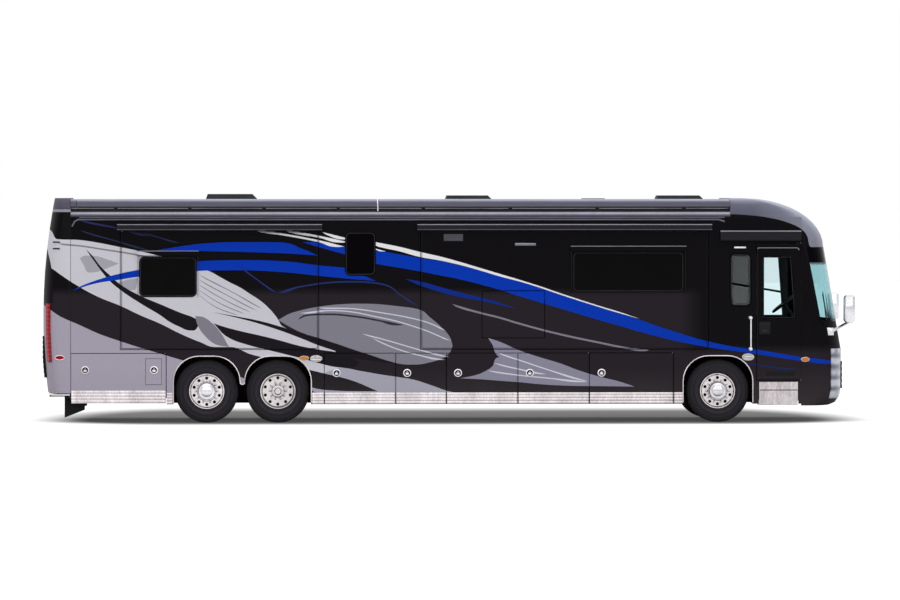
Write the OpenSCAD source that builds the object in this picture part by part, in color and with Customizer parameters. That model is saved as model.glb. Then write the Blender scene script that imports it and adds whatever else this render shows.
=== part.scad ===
// Tag-axle coach motorhome, full size, in millimetres.
// X runs forward along the coach, Y to its left side and Z up from the ground.
// Stations are measured forward from the rear cap and moved to the middle of the coach at the end.

/* [Body] */
// Length of the body from the rear cap to the nose
body_len = 13700; // [13500:10:13900]
// Width over the side walls
body_w = 2560; // [2500:10:2600]
// Height of the skirts' lower edge above the ground
skirt_z = 315; // [290:5:340]
// Height of the side walls' lower edge, above the bay doors
belt_z = 1190; // [1180:5:1210]
// Height where the flat wall ends and the roof's edge radius starts
wall_top_z = 3500; // [3480:5:3540]
// Thickness of walls, roof, slide boxes and doors
wall_t = 50; // [40:1:55]
// Radius of the roof's edge
roof_r = 140; // [120:5:160]
// Rise of the roof's middle above its edge
roof_crown = 50; // [20:5:80]
// Rise of the front and rear caps' tops above the roof's edge
cap_rise = 180; // [150:5:200]
// Radius of the caps' upper side edges
cap_edge_r = 200; // [150:10:220]
// Gap round every panel that moves
panel_gap = 12; // [10:1:14]

/* [Wheels] */
// Station of the tag axle
tag_s = 2798; // [2790:1:2810]
// Distance from the tag axle to the drive axle
tag_spread = 1211; // [1205:1:1220]
// Distance from the front axle to the nose
front_overhang = 2193; // [2180:1:2210]
// Outer diameter of every tyre
tyre_d = 1070; // [1050:2:1080]
// Width of every tyre
tyre_w = 290; // [270:2:296]
// Diameter over the rim's flange
rim_d = 597; // [580:1:610]
// Distance from the side walls in to the outer wheels' middle planes
wheel_inset = 210; // [205:1:230]
// Distance between the two wheels of a twin pair
dual_pitch = 345; // [335:1:355]
// Distance from a steered wheel's middle plane in to its kingpin
kingpin_offset = 110; // [105:1:120]

/* [Arches] */
// Half of the width of a rear wheel arch
rear_arch_half = 562; // [555:1:566]
// Half of the width of the front wheel arch
front_arch_half = 590; // [580:1:596]
// Height of the arches' tops
arch_top_z = 1130; // [1110:2:1150]
// Radius of the arches' upper corners
arch_r = 430; // [380:5:470]
// Height of the lower end of the web between the two rear arches
arch_web_z = 662; // [640:2:680]

/* [Front cap] */
// Length of the front cap's sides, ahead of the door pillar
front_cap_len = 770; // [740:5:790]
// Length of the raised fairing that the front cap runs back over the roof
fairing_len = 1215; // [1100:5:1300]
// Length over which the nose rounds into the sides
nose_depth = 500; // [460:5:540]
// Distance that the windscreen leans back from its foot to its head
screen_rake = 305; // [270:5:340]
// Height of the windscreen's glass foot
screen_z0 = 1715; // [1690:5:1740]
// Height of the windscreen's head, where the brow starts
brow_z = 2985; // [2960:5:3010]
// Length over which the brow rises to the top
brow_len = 1400; // [1350:10:1430]

/* [Rear cap] */
// Length of the rear cap's sides
rear_cap_len = 490; // [460:5:520]
// Height of the rear cap's lower edge
rear_cap_z = 508; // [490:2:530]
// Distance that the rear cap leans forward at its top
rear_lean = 200; // [180:5:240]
// Distance that the rear cap tucks in at its foot
rear_tuck = 80; // [70:5:120]

/* [Slide rooms] */
// Depth of a slide room's box
slide_depth = 760; // [700:10:800]
// Height of the slide openings' lower edge
slide_z0 = 1240; // [1238:1:1246]
// Height of the slide openings' upper edge
slide_z1 = 3260; // [3220:5:3262]

/* [Entry door] */
// Width of the entry door's opening
entry_w = 775; // [760:1:790]
// Height of the entry door's sill
entry_z0 = 715; // [700:5:730]
// Height of the entry door's head
entry_z1 = 3060; // [3040:5:3080]

/* [Hidden] */
$fn = 48;

// Sides of the coach, as the sign of Y
RIGHT = -1;
LEFT = 1;
// Length by which every cut runs past the face it opens
overrun = 20;
// Gap between a piece and the seat that carries it
seat_gap = 0.3;
// Steps in a rounded corner of a panel
corner_steps = 6;

// Body stations and planes
half_w = body_w / 2;
wheel_y = half_w - wheel_inset;
inner_w = half_w - wall_t;
drive_s = tag_s + tag_spread;
front_s = body_len - front_overhang;
wall_s0 = rear_cap_len;
wall_s1 = body_len - front_cap_len;
fairing_s = wall_s1 - fairing_len;
tyre_r = tyre_d / 2;
rim_r = rim_d / 2;
deck_z = slide_z0 + panel_gap - seat_gap;
roof_edge_z = wall_top_z + roof_r - wall_t;
cap_top_z = wall_top_z + roof_r + cap_rise;
entry_s1 = wall_s1 - seat_gap;
entry_s0 = wall_s1 - entry_w;
mirror_reach = 135;
total_len = body_len + mirror_reach;

// Outline of the nose, as heights and setbacks from the foremost point
chin_z = 283;
chin_h = 300;
chin_set = 190;
bonnet_z = 1230;
cap_t = 45;
nose_power_share = 2.5;
nose_step_deg = 6;
chin_step_deg = 30;
brow_rise_shares = [0.12, 0.25, 0.38, 0.5, 0.62, 0.72, 0.81, 0.89, 0.945, 0.98, 1];
brow_depth_share = 0.5;

// Windscreen patch and the corner lamps, as angles round the nose
screen_half_deg = 78;
screen_lap = 35;
screen_open_y = half_w - cap_t - screen_lap;
screen_t = 8;
head_lamp_deg = [36, 66];
head_lamp_z = [400, 1250];
head_lamp_t = 22;
grille_half_deg = 24;
grille_z = [560, 1060];
grille_t = 25;
grille_slats = 5;

// Rear cap
rear_waist_z = 1760;
rear_depth = 255;
rear_power_share = 2.6;
rear_step_deg = 10;
rear_heights = 9;
rear_rise_shares = [0.35, 0.65, 0.87, 1];
tail_lamp_deg = [50, 70];
tail_lamp_z = [1040, 2030];
tail_lamp_t = 20;
louvre_half_w = 760;
louvre_z = [760, 1500];
louvre_count = 9;
louvre_t = 25;
louvre_share = 0.55;

// Slide rooms: [start station, end station] of each opening
slide_rear_margin = 836;
slide_past_drive = 700;
slide_mid_gap = 1717;
slide_front_margin = 159;
slide_rr = [wall_s0 + slide_rear_margin, drive_s + slide_past_drive];
slide_rf = [slide_rr[1] + slide_mid_gap, front_s - slide_front_margin];
slide_lf = [slide_rr[0], slide_rf[1]];
slide_fascia_t = wall_t;

// Windows: [start station, end station, foot height, head height], placed by shares of a span
function opening(span, shares, z) = [
    span[0] + (span[1] - span[0]) * shares[0], span[0] + (span[1] - span[0]) * shares[1], z[0], z[1]
];
bed_win_z = [2161, 2808];
sofa_win_z = [2242, 2888];
bath_win_z = [2525, 3225];
narrow_win_z = [1998, 2858];
cab_win_z = [1783, 2812];
bed_win_shares = [0.1029, 0.379];
sofa_win_shares = [0.5319, 0.91];
bath_win_shares = [0.2691, 0.5486];
narrow_win_shares = [0.4733, 0.8736];
left_bed_shares = [0.0972, 0.197];
left_galley_shares = [0.4065, 0.5362];
left_sofa_shares = [0.7059, 0.8954];
driver_win_shares = [0.2383, 0.9368];
entry_win_shares = [0.1716, 0.8555];
win_rr = opening(slide_rr, bed_win_shares, bed_win_z);
win_rf = opening(slide_rf, sofa_win_shares, sofa_win_z);
win_bath = opening([slide_rr[1], slide_rf[0]], bath_win_shares, bath_win_z);
win_narrow = opening([slide_rf[1], entry_s0], narrow_win_shares, narrow_win_z);
win_left_bed = opening(slide_lf, left_bed_shares, bed_win_z);
win_left_galley = opening(slide_lf, left_galley_shares, sofa_win_z);
win_left_sofa = opening(slide_lf, left_sofa_shares, sofa_win_z);
win_driver = opening([slide_lf[1], wall_s1], driver_win_shares, cab_win_z);
win_entry = opening([entry_s0, wall_s1], entry_win_shares, cab_win_z);
win_slant = 75;
win_r = 70;
glass_t = 6;
glass_lap = 22;

// Window awnings on the slide rooms
shade_h = 100;
shade_t = 75;
shade_over = 55;
shade_rise = 20;
shade_arm_w = 26;
shade_arm_t = 30;

// Entertainment hatch on the right front slide room: [start, end, foot, head]
hatch_z = [1435, 2250];
hatch_shares = [0.2131, 0.4323];
hatch = opening(slide_rf, hatch_shares, hatch_z);
hatch_t = 38;
hatch_drop = 30;
hatch_pin_r = 6;
hatch_pin_l = 40;
hatch_pin_root = 15;

// Bay doors between the axles, as shares of the run from drive arch panel to front arch panel
bay_right_shares = [0, 0.2043, 0.3494, 0.5538, 0.7585, 1];
bay_left_shares = [0, 0.3494, 0.7585, 1];
bay_rear_margin = 225;
bay_front_margin = 166;
rear_bay_margin = 125;
bay_run = [drive_s + rear_arch_half + bay_rear_margin, front_s - front_arch_half - bay_front_margin];
rear_bay_end = tag_s - rear_arch_half - rear_bay_margin;
rear_bay_rise = 105;
rear_bay_end_rise = 26.25;
bay_head_gap = 12;
hinge_barrel_r = 5.5;
hinge_pin_r = 3;
hinge_leaf = 30;
hinge_inset = 8;
hinge_leaf_t = 3;

// Entry step
step_rail = 45;
step_z0 = 290;
step_z1 = 695;
step_split_z = 552;
step_plate_t = 12;
step_depth = 420;
step_seam = 8;

// Floors and chassis
deck_t = 55;
pan_t = 25;
housing_t = 20;
housing_y = 490;
housing_gap = 25;
axle_slot = 140;
sill_gap = 6;
step_well_y = 620;
rail_y = 340;
rail_w = 80;
rail_h = 270;
rail_z = deck_z - deck_t - rail_h;
rail_s0 = 330;
rail_end_gap = 420;
rail_s1 = body_len - rail_end_gap;
cross_w = 90;
cross_h = 120;
cross_shares = [0.005, 0.13, 0.36, 0.49, 0.62, 0.75, 0.93, 0.995];

// Axles
axle_r = 56;
drive_axle_r = 78;
spindle_r = 45;
hub_r = 142;
pin_boss_r = 55;
pin_boss_h = 250;
kingpin_r = 24;
knuckle_h = 130;
knuckle_jaw = 58;
diff_r = 215;
shaft_r = 48;
shaft_rise = 128;
bag_r = 85;
bag_y = rail_y + rail_w / 2;
bag_offset = 330;
perch_h = 70;
perch_w = 150;

// Rims
rim_w = 229;
rim_t = 14;
disc_t = 24;
flange_t = 12;
hand_holes = 10;
hand_hole_r = 27;
hand_hole_pcr = 224;
hub_cap_r = 172;
hub_cap_h = 70;
hub_taper_share = 0.72;
disc_seat_share = 1.6;
nut_count = 10;
nut_gap = 4;
nut_r = 17;
nut_h = 24;
steer_disc_inset = 26;
drive_disc_inset = 150;
drive_hub_r = 118;
drive_hub_h = 120;
steer_hub_len = 75;
twin_hub_len = dual_pitch - rim_w + drive_disc_inset - disc_t;

// Engine block and gearbox
engine_s0 = 520;
engine_len = 1250;
engine_h = 640;
engine_w = 560;
gearbox_len = 620;
gearbox_h = 400;
gearbox_w = 420;
mount_w = 120;

// Tow hitch and rear flap
hitch_tube = 76;
hitch_bore = 64;
hitch_pin_r = 8;
hitch_pin_inset = 64;
hitch_s0 = 100;
hitch_beam_s = 382;
hitch_side_gap = 180;
hitch_beam_w = body_w - 2 * hitch_side_gap;
hitch_beam_h = 80;
hitch_beam_z = 410;
flap_t = 12;
flap_z = 90;

// Awnings on the right roof edge and over the slide rooms and the door
roller_lift = 153;
roller_h = 153;
roller_z0 = wall_top_z + roller_lift;
roller_z1 = roller_z0 + roller_h;
roller_w = 160;
roller_margin = 105;
roller_end_gap = 15;
roller_shares = [0, 0.4592, 0.461, 1];
roller_run = [wall_s0 + roller_margin, fairing_s - roller_end_gap];
roller_s = [for (u = roller_shares) roller_run[0] + (roller_run[1] - roller_run[0]) * u];
roller_feet = 4;
roller_foot_w = 60;
roller_foot_share = 2 / 3;
topper_gap = 8;
topper_z0 = slide_z1 + topper_gap;
topper_h = 108;
topper_t = 115;
topper_over = 48;
porch_lead = 612;
porch_end_gap = 10;
porch_lift = 30;
porch_s = [entry_s0 - porch_lead, wall_s1 - porch_end_gap];
porch_z0 = entry_z1 + porch_lift;
porch_h = 170;
porch_t = 105;
case_r = 30;

// Roof units: [start, end] as shares of the body's length, and the height over the roof's edge
air_shares = [[0.2024, 0.2711], [0.5025, 0.5661], [0.7669, 0.8318]];
air_rises = [250, 226, 226];
air_units = [
    for (i = [0:2])
        [body_len * air_shares[i][0], body_len * air_shares[i][1], wall_top_z + roof_r + air_rises[i]]
];
air_w = 760;
air_draft = 130;
air_nose_share = 1 / 3;
air_sink = 40;
air_foot_z = wall_top_z + roof_r - air_sink;
dome_share = 0.6898;
dome_s = body_len * dome_share;
dome_r = 330;
dome_h = 175;
dome_top_share = 0.6;
vent_shares = [0.3577, 0.6204];
vent_s = [for (u = vent_shares) body_len * u];
vent_w = 420;
vent_h = 90;

// Mirrors
mirror_base_set = 280;
mirror_base_in = 150;
mirror_base_s = body_len - mirror_base_set;
mirror_base_y = half_w - mirror_base_in;
mirror_base_z = 1545;
mirror_base = [150, 120, 130];
mirror_head_lead = 38;
mirror_head_out = 135;
mirror_head_s = body_len + mirror_head_lead;
mirror_head_y = half_w + mirror_head_out;
mirror_head_z = 1935;
mirror_head = [194, 210, 480];
mirror_head_r = 60;
mirror_arm_r = 24;
mirror_arm_z = 1715;
arm_root_shares = [1 / 4, 1 / 3];

// Cab
dash_set = [740, 370];
dash_s = [body_len - dash_set[0], body_len - dash_set[1]];
dash_h = 470;
dash_side_gap = 190;
dash_w = body_w - 2 * dash_side_gap;
dash_foot_set = [640, 510];
dash_foot = [body_len - dash_foot_set[0], body_len - dash_foot_set[1]];
dash_visor = 90;
dash_lip_share = 0.35;
dash_knee_share = 0.6;
wheel_set = 910;
wheel_s = body_len - wheel_set;
wheel_side_y = 600;
wheel_z = 1985;
hand_wheel_r = 225;
hand_wheel_rim_r = 18;
hand_wheel_tilt = 38;
column_r = 32;
column_l = 340;
seat_lead = 352;
seat_s = slide_rf[1] + seat_lead;
seat_y = 640;
seat_w = 540;
seat_len = 520;
seat_h = 180;
seat_back_h = 760;
seat_back_t = 150;
seat_base_h = 330;
seat_base_w = 300;
seat_lean = 90;
seat_foot_share = 0.2;
head_rest_share = 0.7;
head_rest_h = 190;
head_rest_w = 280;

// Lamps on the sides: [station, height, length, depth], ovals
marker_past_drive = 445;
marker_past_wall = 68;
dock_past_drive = 649;
dock_lead = 133;
marker_spots = [[drive_s + marker_past_drive, 1102, 150, 58], [wall_s1 + marker_past_wall, 1071, 130, 62]];
dock_spots = [[entry_s0 - dock_lead, 1111, 190, 104], [drive_s + dock_past_drive, 1092, 190, 100]];
lamp_t = 16;

// Assist handle beside the entry door
grip_lead = 89;
grip_s = entry_s0 - grip_lead;
grip_z = [1250, 1780];
grip_r = 14;
grip_off = 60;
grip_foot_r = 26;

// A circular arc of points
function arc(x, y, r, a0, a1, n = corner_steps) =
    [for (i = [0:n]) let (a = a0 + (a1 - a0) * i / n) [x + r * cos(a), y + r * sin(a)]];

// A rectangle with rounded corners, as points
function rounded(x0, x1, y0, y1, r) = concat(
    arc(x1 - r, y1 - r, r, 0, 90), arc(x0 + r, y1 - r, r, 90, 180),
    arc(x0 + r, y0 + r, r, 180, 270), arc(x1 - r, y0 + r, r, 270, 360)
);

// The opening of a wheel arch centred on a station, as points
function arch_points(s, half, low) = concat(
    [[s - half, low]], arc(s - half + arch_r, arch_top_z - arch_r, arch_r, 180, 90),
    arc(s + half - arch_r, arch_top_z - arch_r, arch_r, 90, 0), [[s + half, low]]
);

// A window that leans at its front edge, as points
function slanted(w, grow) = [
    [w[0] - grow, w[2] - grow], [w[1] + grow, w[2] - grow],
    [w[1] + grow - win_slant, w[3] + grow], [w[0] - grow, w[3] + grow]
];

// Power of a number between -1 and 1 that keeps its sign
function signed_power(v, p) = sign(v) * pow(abs(v), p);

// Half width of the caps at a height, drawn in by an inset
function cap_half(z, inset) =
    let (r = cap_edge_r - inset, top = cap_top_z - inset, u = max(0, z - (top - r)) / r)
    half_w - inset - r * (1 - sqrt(max(0, 1 - u * u)));

// Setback of the nose at a height: round chin, upright bonnet, raked screen, then the brow
function screen_set(z) = screen_rake * (z - bonnet_z) / (brow_z - bonnet_z);
function brow_set(z, inset) =
    let (u = min(1, (z - brow_z) / (cap_top_z - inset - brow_z)))
    screen_rake + brow_len * (1 - sqrt(1 - u * u));
function chin_curve(z) = chin_set * (1 - sin(acos(1 - max(0, z - chin_z) / chin_h)));
function nose_curve(z, inset) = inset + (
    z < chin_z + chin_h ? chin_curve(z) : z < bonnet_z ? 0 : z < brow_z ? screen_set(z) : brow_set(z, inset)
);

// Heights of the nose's sections, outside and in its hollow
screen_low = screen_z0 + screen_lap;
screen_high = brow_z - screen_lap;
nose_levels = concat(
    [for (a = [0:chin_step_deg:90]) chin_z + chin_h * (1 - cos(a))], [bonnet_z, screen_z0, brow_z],
    [for (u = brow_rise_shares) brow_z + (cap_top_z - brow_z) * u]
);
hollow_top_z = wall_top_z + roof_r + roof_crown;
nose_hollow_levels = concat(
    [chin_z - overrun], [for (z = nose_levels) if (z > chin_z && z < hollow_top_z) z], [hollow_top_z]
);

// Depth of the nose's corners, less deep over the brow
function nose_depth_at(z, inset) =
    let (u = max(0, z - brow_z) / (cap_top_z - inset - brow_z))
    nose_depth * (1 - brow_depth_share * u * u);

// A point round the nose, at a height and an angle from straight ahead
function nose_point(z, a, inset) =
    let (depth = nose_depth_at(z, inset) - inset, p = 2 / nose_power_share)
    [
        body_len - nose_curve(z, inset) - depth * (1 - pow(cos(a), p)),
        cap_half(z, inset) * signed_power(sin(a), p),
        z
    ];
function nose_row(z, a, inset) = [for (b = columns(a, nose_step_deg)) nose_point(z, b, inset)];
function nose_side(z, inset, back) = [back, cap_half(z, inset), z];
function flip_y(p) = [p[0], -p[1], p[2]];
function nose_ring(z, inset, back) = concat(
    [flip_y(nose_side(z, inset, back))], nose_row(z, [-90, 90], inset), [nose_side(z, inset, back)]
);

// Outline of the rear cap: its setback at a height
function rear_curve(z) = z > rear_waist_z
    ? rear_lean * pow((z - rear_waist_z) / (cap_top_z - rear_waist_z), 2)
    : rear_tuck * pow((rear_waist_z - z) / (rear_waist_z - rear_cap_z), 2);
function rear_set(z) = lookup(z, [for (h = rear_levels) [h, rear_curve(h)]]);
function rear_point(z, a, inset) =
    let (depth = rear_depth - inset, p = 2 / rear_power_share)
    [
        rear_set(z) + inset + depth * (1 - pow(cos(a), p)),
        -cap_half(z, inset) * signed_power(sin(a), p),
        z
    ];
function rear_ring(z, inset, front) = concat(
    [[front, cap_half(z, inset), z]],
    [for (a = [-90:rear_step_deg:90]) rear_point(z, a, inset)],
    [[front, -cap_half(z, inset), z]]
);
rear_edge_z = cap_top_z - cap_edge_r;
rear_levels = concat(
    [for (i = [0:rear_heights]) rear_cap_z + (rear_edge_z - rear_cap_z) * i / rear_heights],
    [for (u = rear_rise_shares) rear_edge_z + cap_edge_r * u]
);
rear_hollow_levels = concat(
    [rear_cap_z - overrun], [for (z = rear_levels) if (z > rear_cap_z && z < hollow_top_z) z],
    [hollow_top_z]
);

// A solid through closed rings of points that all have the same number of points
module loft(rings) {
    lofted(rings, [[for (j = [0:len(rings[0]) - 1]) j]]);
}
module lofted(rings, ends) {
    n = len(rings[0]);
    m = len(rings);
    polyhedron(
        points = [for (r = rings) each r],
        faces = concat(
            ends,
            [for (i = [0:m - 2], j = [0:n - 1]) let (k = (j + 1) % n)
                each [
                    [i * n + j, (i + 1) * n + j, (i + 1) * n + k],
                    [i * n + j, (i + 1) * n + k, i * n + k]
                ]],
            [for (e = ends) [for (j = [len(e) - 1:-1:0]) (m - 1) * n + e[j]]]
        ),
        convexity = 6
    );
}

// A curved plate between an outer and an inner grid of points, its ends closed in strips
module plate_between(outer, inner) {
    n = len(outer[0]);
    last = 2 * n - 1;
    lofted(
        [for (i = [0:len(outer) - 1]) concat(outer[i], [for (j = [n - 1:-1:0]) inner[i][j]])],
        [for (j = [0:n - 2]) each [[j, j + 1, last - 1 - j], [j, last - 1 - j, last - j]]]
    );
}

// A patch of the nose between two heights and two angles, from one inset to another
// whose rows and columns are those of the nose itself
function rows_between(z, levels) = concat([z[0]], [for (h = levels) if (h > z[0] && h < z[1]) h], [z[1]]);
function columns(a, step) = concat([a[0]], [for (b = [-90:step:90]) if (b > a[0] && b < a[1]) b], [a[1]]);
function nose_grid(z, a, inset) = [for (h = rows_between(z, nose_levels)) nose_row(h, a, inset)];
module nose_patch(z, a, out, deep) {
    plate_between(nose_grid(z, a, out), nose_grid(z, a, deep));
}

// A patch of the rear cap
function rear_grid(z, a, inset) = [
    for (h = rows_between(z, rear_levels)) [for (b = columns(a, rear_step_deg)) rear_point(h, b, inset)]
];
module rear_patch(z, a, out, deep) {
    plate_between(rear_grid(z, a, out), rear_grid(z, a, deep));
}

// A flat plate on one side of the coach, from an outline in station and height
module side_plate(side, y0, t) {
    translate([0, side > 0 ? y0 + t : -y0, 0])
        rotate([90, 0, 0])
            linear_extrude(t) children();
}

// A box between two corners
module block(low, high) {
    translate(low) cube(high - low);
}

// The same piece on both sides of the coach
module both_sides() {
    children();
    mirror([0, 1, 0]) children();
}

// Moves stations to the middle of the coach
module place() {
    translate([-total_len / 2, 0, 0]) children();
}

// Outline of a flat window opening, rounded
module window_hole(w, grow = 0) {
    polygon(rounded(w[0] - grow, w[1] + grow, w[2] - grow, w[3] + grow, win_r + grow));
}

// Side wall outline with its arches, slide openings and windows
module wall_outline() {
    difference() {
        union() {
            polygon([[wall_s0, belt_z], [wall_s1, belt_z], [wall_s1, wall_top_z], [wall_s0, wall_top_z]]);
            for (span = [[rear_bay_end, bay_run[0] - panel_gap / 2], [bay_run[1], wall_s1]])
                translate([span[0] + panel_gap / 2, skirt_z])
                    square([span[1] - span[0] - panel_gap / 2, belt_z - skirt_z]);
        }
        for (s = [tag_s, drive_s]) polygon(arch_points(s, rear_arch_half, skirt_z - overrun));
        polygon(arch_points(front_s, front_arch_half, skirt_z - overrun));
        translate([tag_s, skirt_z - overrun]) square([drive_s - tag_s, arch_web_z - skirt_z + overrun]);
        children();
    }
}

module slide_hole(s) {
    translate([s[0], slide_z0]) square([s[1] - s[0], slide_z1 - slide_z0]);
}

module wall_right() {
    color("#17141a") {
        side_plate(RIGHT, inner_w, wall_t) wall_outline() {
            slide_hole(slide_rr);
            slide_hole(slide_rf);
            window_hole(win_bath);
            window_hole(win_narrow);
            translate([entry_s0, entry_z0]) square([entry_w + overrun, entry_z1 - entry_z0]);
            translate([entry_s0 + step_rail, skirt_z - overrun])
                square([entry_w - 2 * step_rail, step_z1 - skirt_z + overrun + panel_gap]);
        }
        assist_handle();
    }
}

// Bright tube handle on two feet beside the entry door
module assist_handle() {
    for (z = grip_z)
        translate([grip_s, -half_w, z])
            rotate([90, 0, 0]) cylinder(r = grip_foot_r, h = grip_off);
    translate([grip_s, -half_w - grip_off + grip_foot_r / 2, grip_z[0]])
        cylinder(r = grip_r, h = grip_z[1] - grip_z[0]);
}

module wall_left() {
    color("#17141a")
        side_plate(LEFT, inner_w, wall_t) wall_outline() {
            slide_hole(slide_lf);
            polygon(slanted(win_driver, 0));
        }
}

// Roof skin: edge radii and a crowned middle, open underneath
function roof_line(inset) =
    let (r = roof_r - inset, y = half_w - roof_r, top = wall_top_z + roof_r - inset)
    concat(
        arc(y, wall_top_z, r, 0, 90),
        [for (i = [1:11]) let (u = 1 - i / 6) [y * u, top + roof_crown * (1 - u * u)]],
        arc(-y, wall_top_z, r, 90, 180)
    );
function backwards(line) = [for (i = [len(line) - 1:-1:0]) line[i]];
module roof() {
    color("#1d1a20")
        translate([wall_s0, 0, 0])
            rotate([90, 0, 90])
                linear_extrude(fairing_s - wall_s0)
                    polygon(concat(roof_line(0), backwards(roof_line(wall_t))));
}

// Front cap: the nose, windscreen frame and the fairing over the roof
module front_cap() {
    color("#17141a")
        difference() {
            loft([for (z = nose_levels) nose_ring(z, 0, fairing_s)]);
            loft([for (z = nose_hollow_levels) nose_ring(z, cap_t, fairing_s - overrun)]);
            block([fairing_s - overrun, -body_w, 0], [wall_s1, body_w, wall_top_z]);
            block(
                [fairing_s, -screen_open_y, screen_low],
                [body_len + overrun, screen_open_y, screen_high]
            );
        }
}

module head_lamps() {
    color("#d5d9e0")
        both_sides()
            nose_patch(head_lamp_z, head_lamp_deg, -head_lamp_t, -seat_gap);
}

// Rear cap: rounded corners, leaning top
module rear_solid() {
    loft([for (z = rear_levels) rear_ring(z, 0, rear_cap_len)]);
}
module rear_cap() {
    color("#17141a")
        difference() {
            rear_solid();
            loft([for (z = rear_hollow_levels) rear_ring(z, cap_t, rear_cap_len + overrun)]);
        }
}

module tail_lamps() {
    color("#b81420")
        both_sides()
            rear_patch(tail_lamp_z, tail_lamp_deg, -tail_lamp_t, -seat_gap);
}

// Front grille and rear louvre panel, slats on two uprights
module grilles() {
    color("#2a2a2e") {
        pitch = (grille_z[1] - grille_z[0]) / grille_slats;
        for (i = [0:grille_slats - 1])
            nose_patch(
                [grille_z[0] + i * pitch, grille_z[0] + (i + louvre_share) * pitch],
                [-grille_half_deg, grille_half_deg], -grille_t, -seat_gap
            );
        for (i = [0:louvre_count - 1])
            rear_louvre(louvre_z[0] + (louvre_z[1] - louvre_z[0]) * i / louvre_count);
    }
}
module rear_louvre(z) {
    high = z + (louvre_z[1] - louvre_z[0]) / louvre_count * louvre_share;
    face = max(rear_set(z), rear_set(high));
    difference() {
        block([max(0, face - louvre_t), -louvre_half_w, z], [face + louvre_t, louvre_half_w, high]);
        translate([-seat_gap, 0, 0]) rear_solid();
    }
}

// Fixed panes in the walls, bonded over their openings
module pane(side, w) {
    side_plate(side, half_w + seat_gap, glass_t) window_hole(w, glass_lap);
}
module cab_glass() {
    color("#0b0b0d", 0.8) {
        nose_patch(
            [screen_z0, brow_z], [-screen_half_deg, screen_half_deg],
            -screen_t, -seat_gap
        );
        pane(RIGHT, win_bath);
        pane(RIGHT, win_narrow);
        side_plate(LEFT, half_w + seat_gap, glass_t) polygon(slanted(win_driver, glass_lap));
    }
}

// A slide room: outer panel with its window, box walls behind and a window awning over the glass
module slide_room(side, s, windows, cuts = []) {
    x0 = s[0] + panel_gap;
    x1 = s[1] - panel_gap;
    z0 = slide_z0 + panel_gap;
    z1 = slide_z1 - panel_gap;
    side_plate(side, half_w - slide_fascia_t, slide_fascia_t)
        difference() {
            translate([x0, z0]) square([x1 - x0, z1 - z0]);
            for (w = windows) window_hole(w);
            for (c = cuts)
                translate([c[0], c[2]]) square([c[1] - c[0], c[3] - c[2]]);
        }
    side_plate(side, half_w - slide_depth, slide_depth - slide_fascia_t)
        difference() {
            translate([x0, z0]) square([x1 - x0, z1 - z0]);
            translate([x0 + wall_t, z0 + wall_t]) square([x1 - x0 - 2 * wall_t, z1 - z0 - 2 * wall_t]);
        }
    for (w = windows) window_shade(side, w);
}
module window_shade(side, w) {
    x0 = w[0] - shade_over;
    x1 = w[1] + shade_over;
    z = w[3] + shade_rise + glass_lap;
    side_plate(side, half_w, shade_t)
        translate([x0, z]) square([x1 - x0, shade_h]);
    for (x = [x0, x1 - shade_arm_w])
        side_plate(side, half_w, shade_arm_t)
            translate([x, w[2]]) square([shade_arm_w, z - w[2]]);
}
module slide_panes(side, windows) {
    for (w = windows) pane(side, w);
}
module slide_right_rear() {
    color("#17141a") slide_room(RIGHT, slide_rr, [win_rr]);
}
module slide_right_rear_glass() {
    color("#0b0b0d", 0.8) slide_panes(RIGHT, [win_rr]);
}
module slide_right_front() {
    color("#17141a") {
        slide_room(RIGHT, slide_rf, [win_rf], [hatch]);
        hatch_pivots(hatch_pin_r, hatch_pin_l);
    }
}
module slide_right_front_glass() {
    color("#0b0b0d", 0.8) slide_panes(RIGHT, [win_rf]);
}
module slide_left() {
    color("#17141a") slide_room(LEFT, slide_lf, [win_left_bed, win_left_galley, win_left_sofa]);
}
module slide_left_glass() {
    color("#0b0b0d", 0.8) slide_panes(LEFT, [win_left_bed, win_left_galley, win_left_sofa]);
}

// Pivot pins of the hatch, standing out of both sides of its opening
module hatch_pivots(r, l) {
    for (x = [hatch[0] - hatch_pin_root, hatch[1] - l])
        translate([x, -half_w + hatch_t / 2, hatch[3] - panel_gap - hatch_drop])
            rotate([0, 90, 0]) cylinder(r = r, h = l + hatch_pin_root);
}

// Top-hinged hatch over the outdoor screen
module tv_hatch() {
    color("#1f1b20")
        difference() {
            side_plate(RIGHT, half_w - hatch_t, hatch_t)
                translate([hatch[0] + panel_gap, hatch[2] + panel_gap])
                    square([hatch[1] - hatch[0] - 2 * panel_gap, hatch[3] - hatch[2] - 2 * panel_gap]);
            hatch_pivots(hatch_pin_r + seat_gap, hatch_pin_l + seat_gap);
        }
}

// Hinge barrel on the front edge of a door, on the plane of the outer skin, and the door's leaf
module hinge_side(side, s, z0, z1) {
    y = side * half_w;
    difference() {
        union() {
            translate([s, y, z0]) cylinder(r = hinge_barrel_r, h = z1 - z0);
            children();
        }
        translate([s, y, z0 - overrun]) cylinder(r = hinge_pin_r + seat_gap, h = z1 - z0 + 2 * overrun);
    }
}

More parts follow.
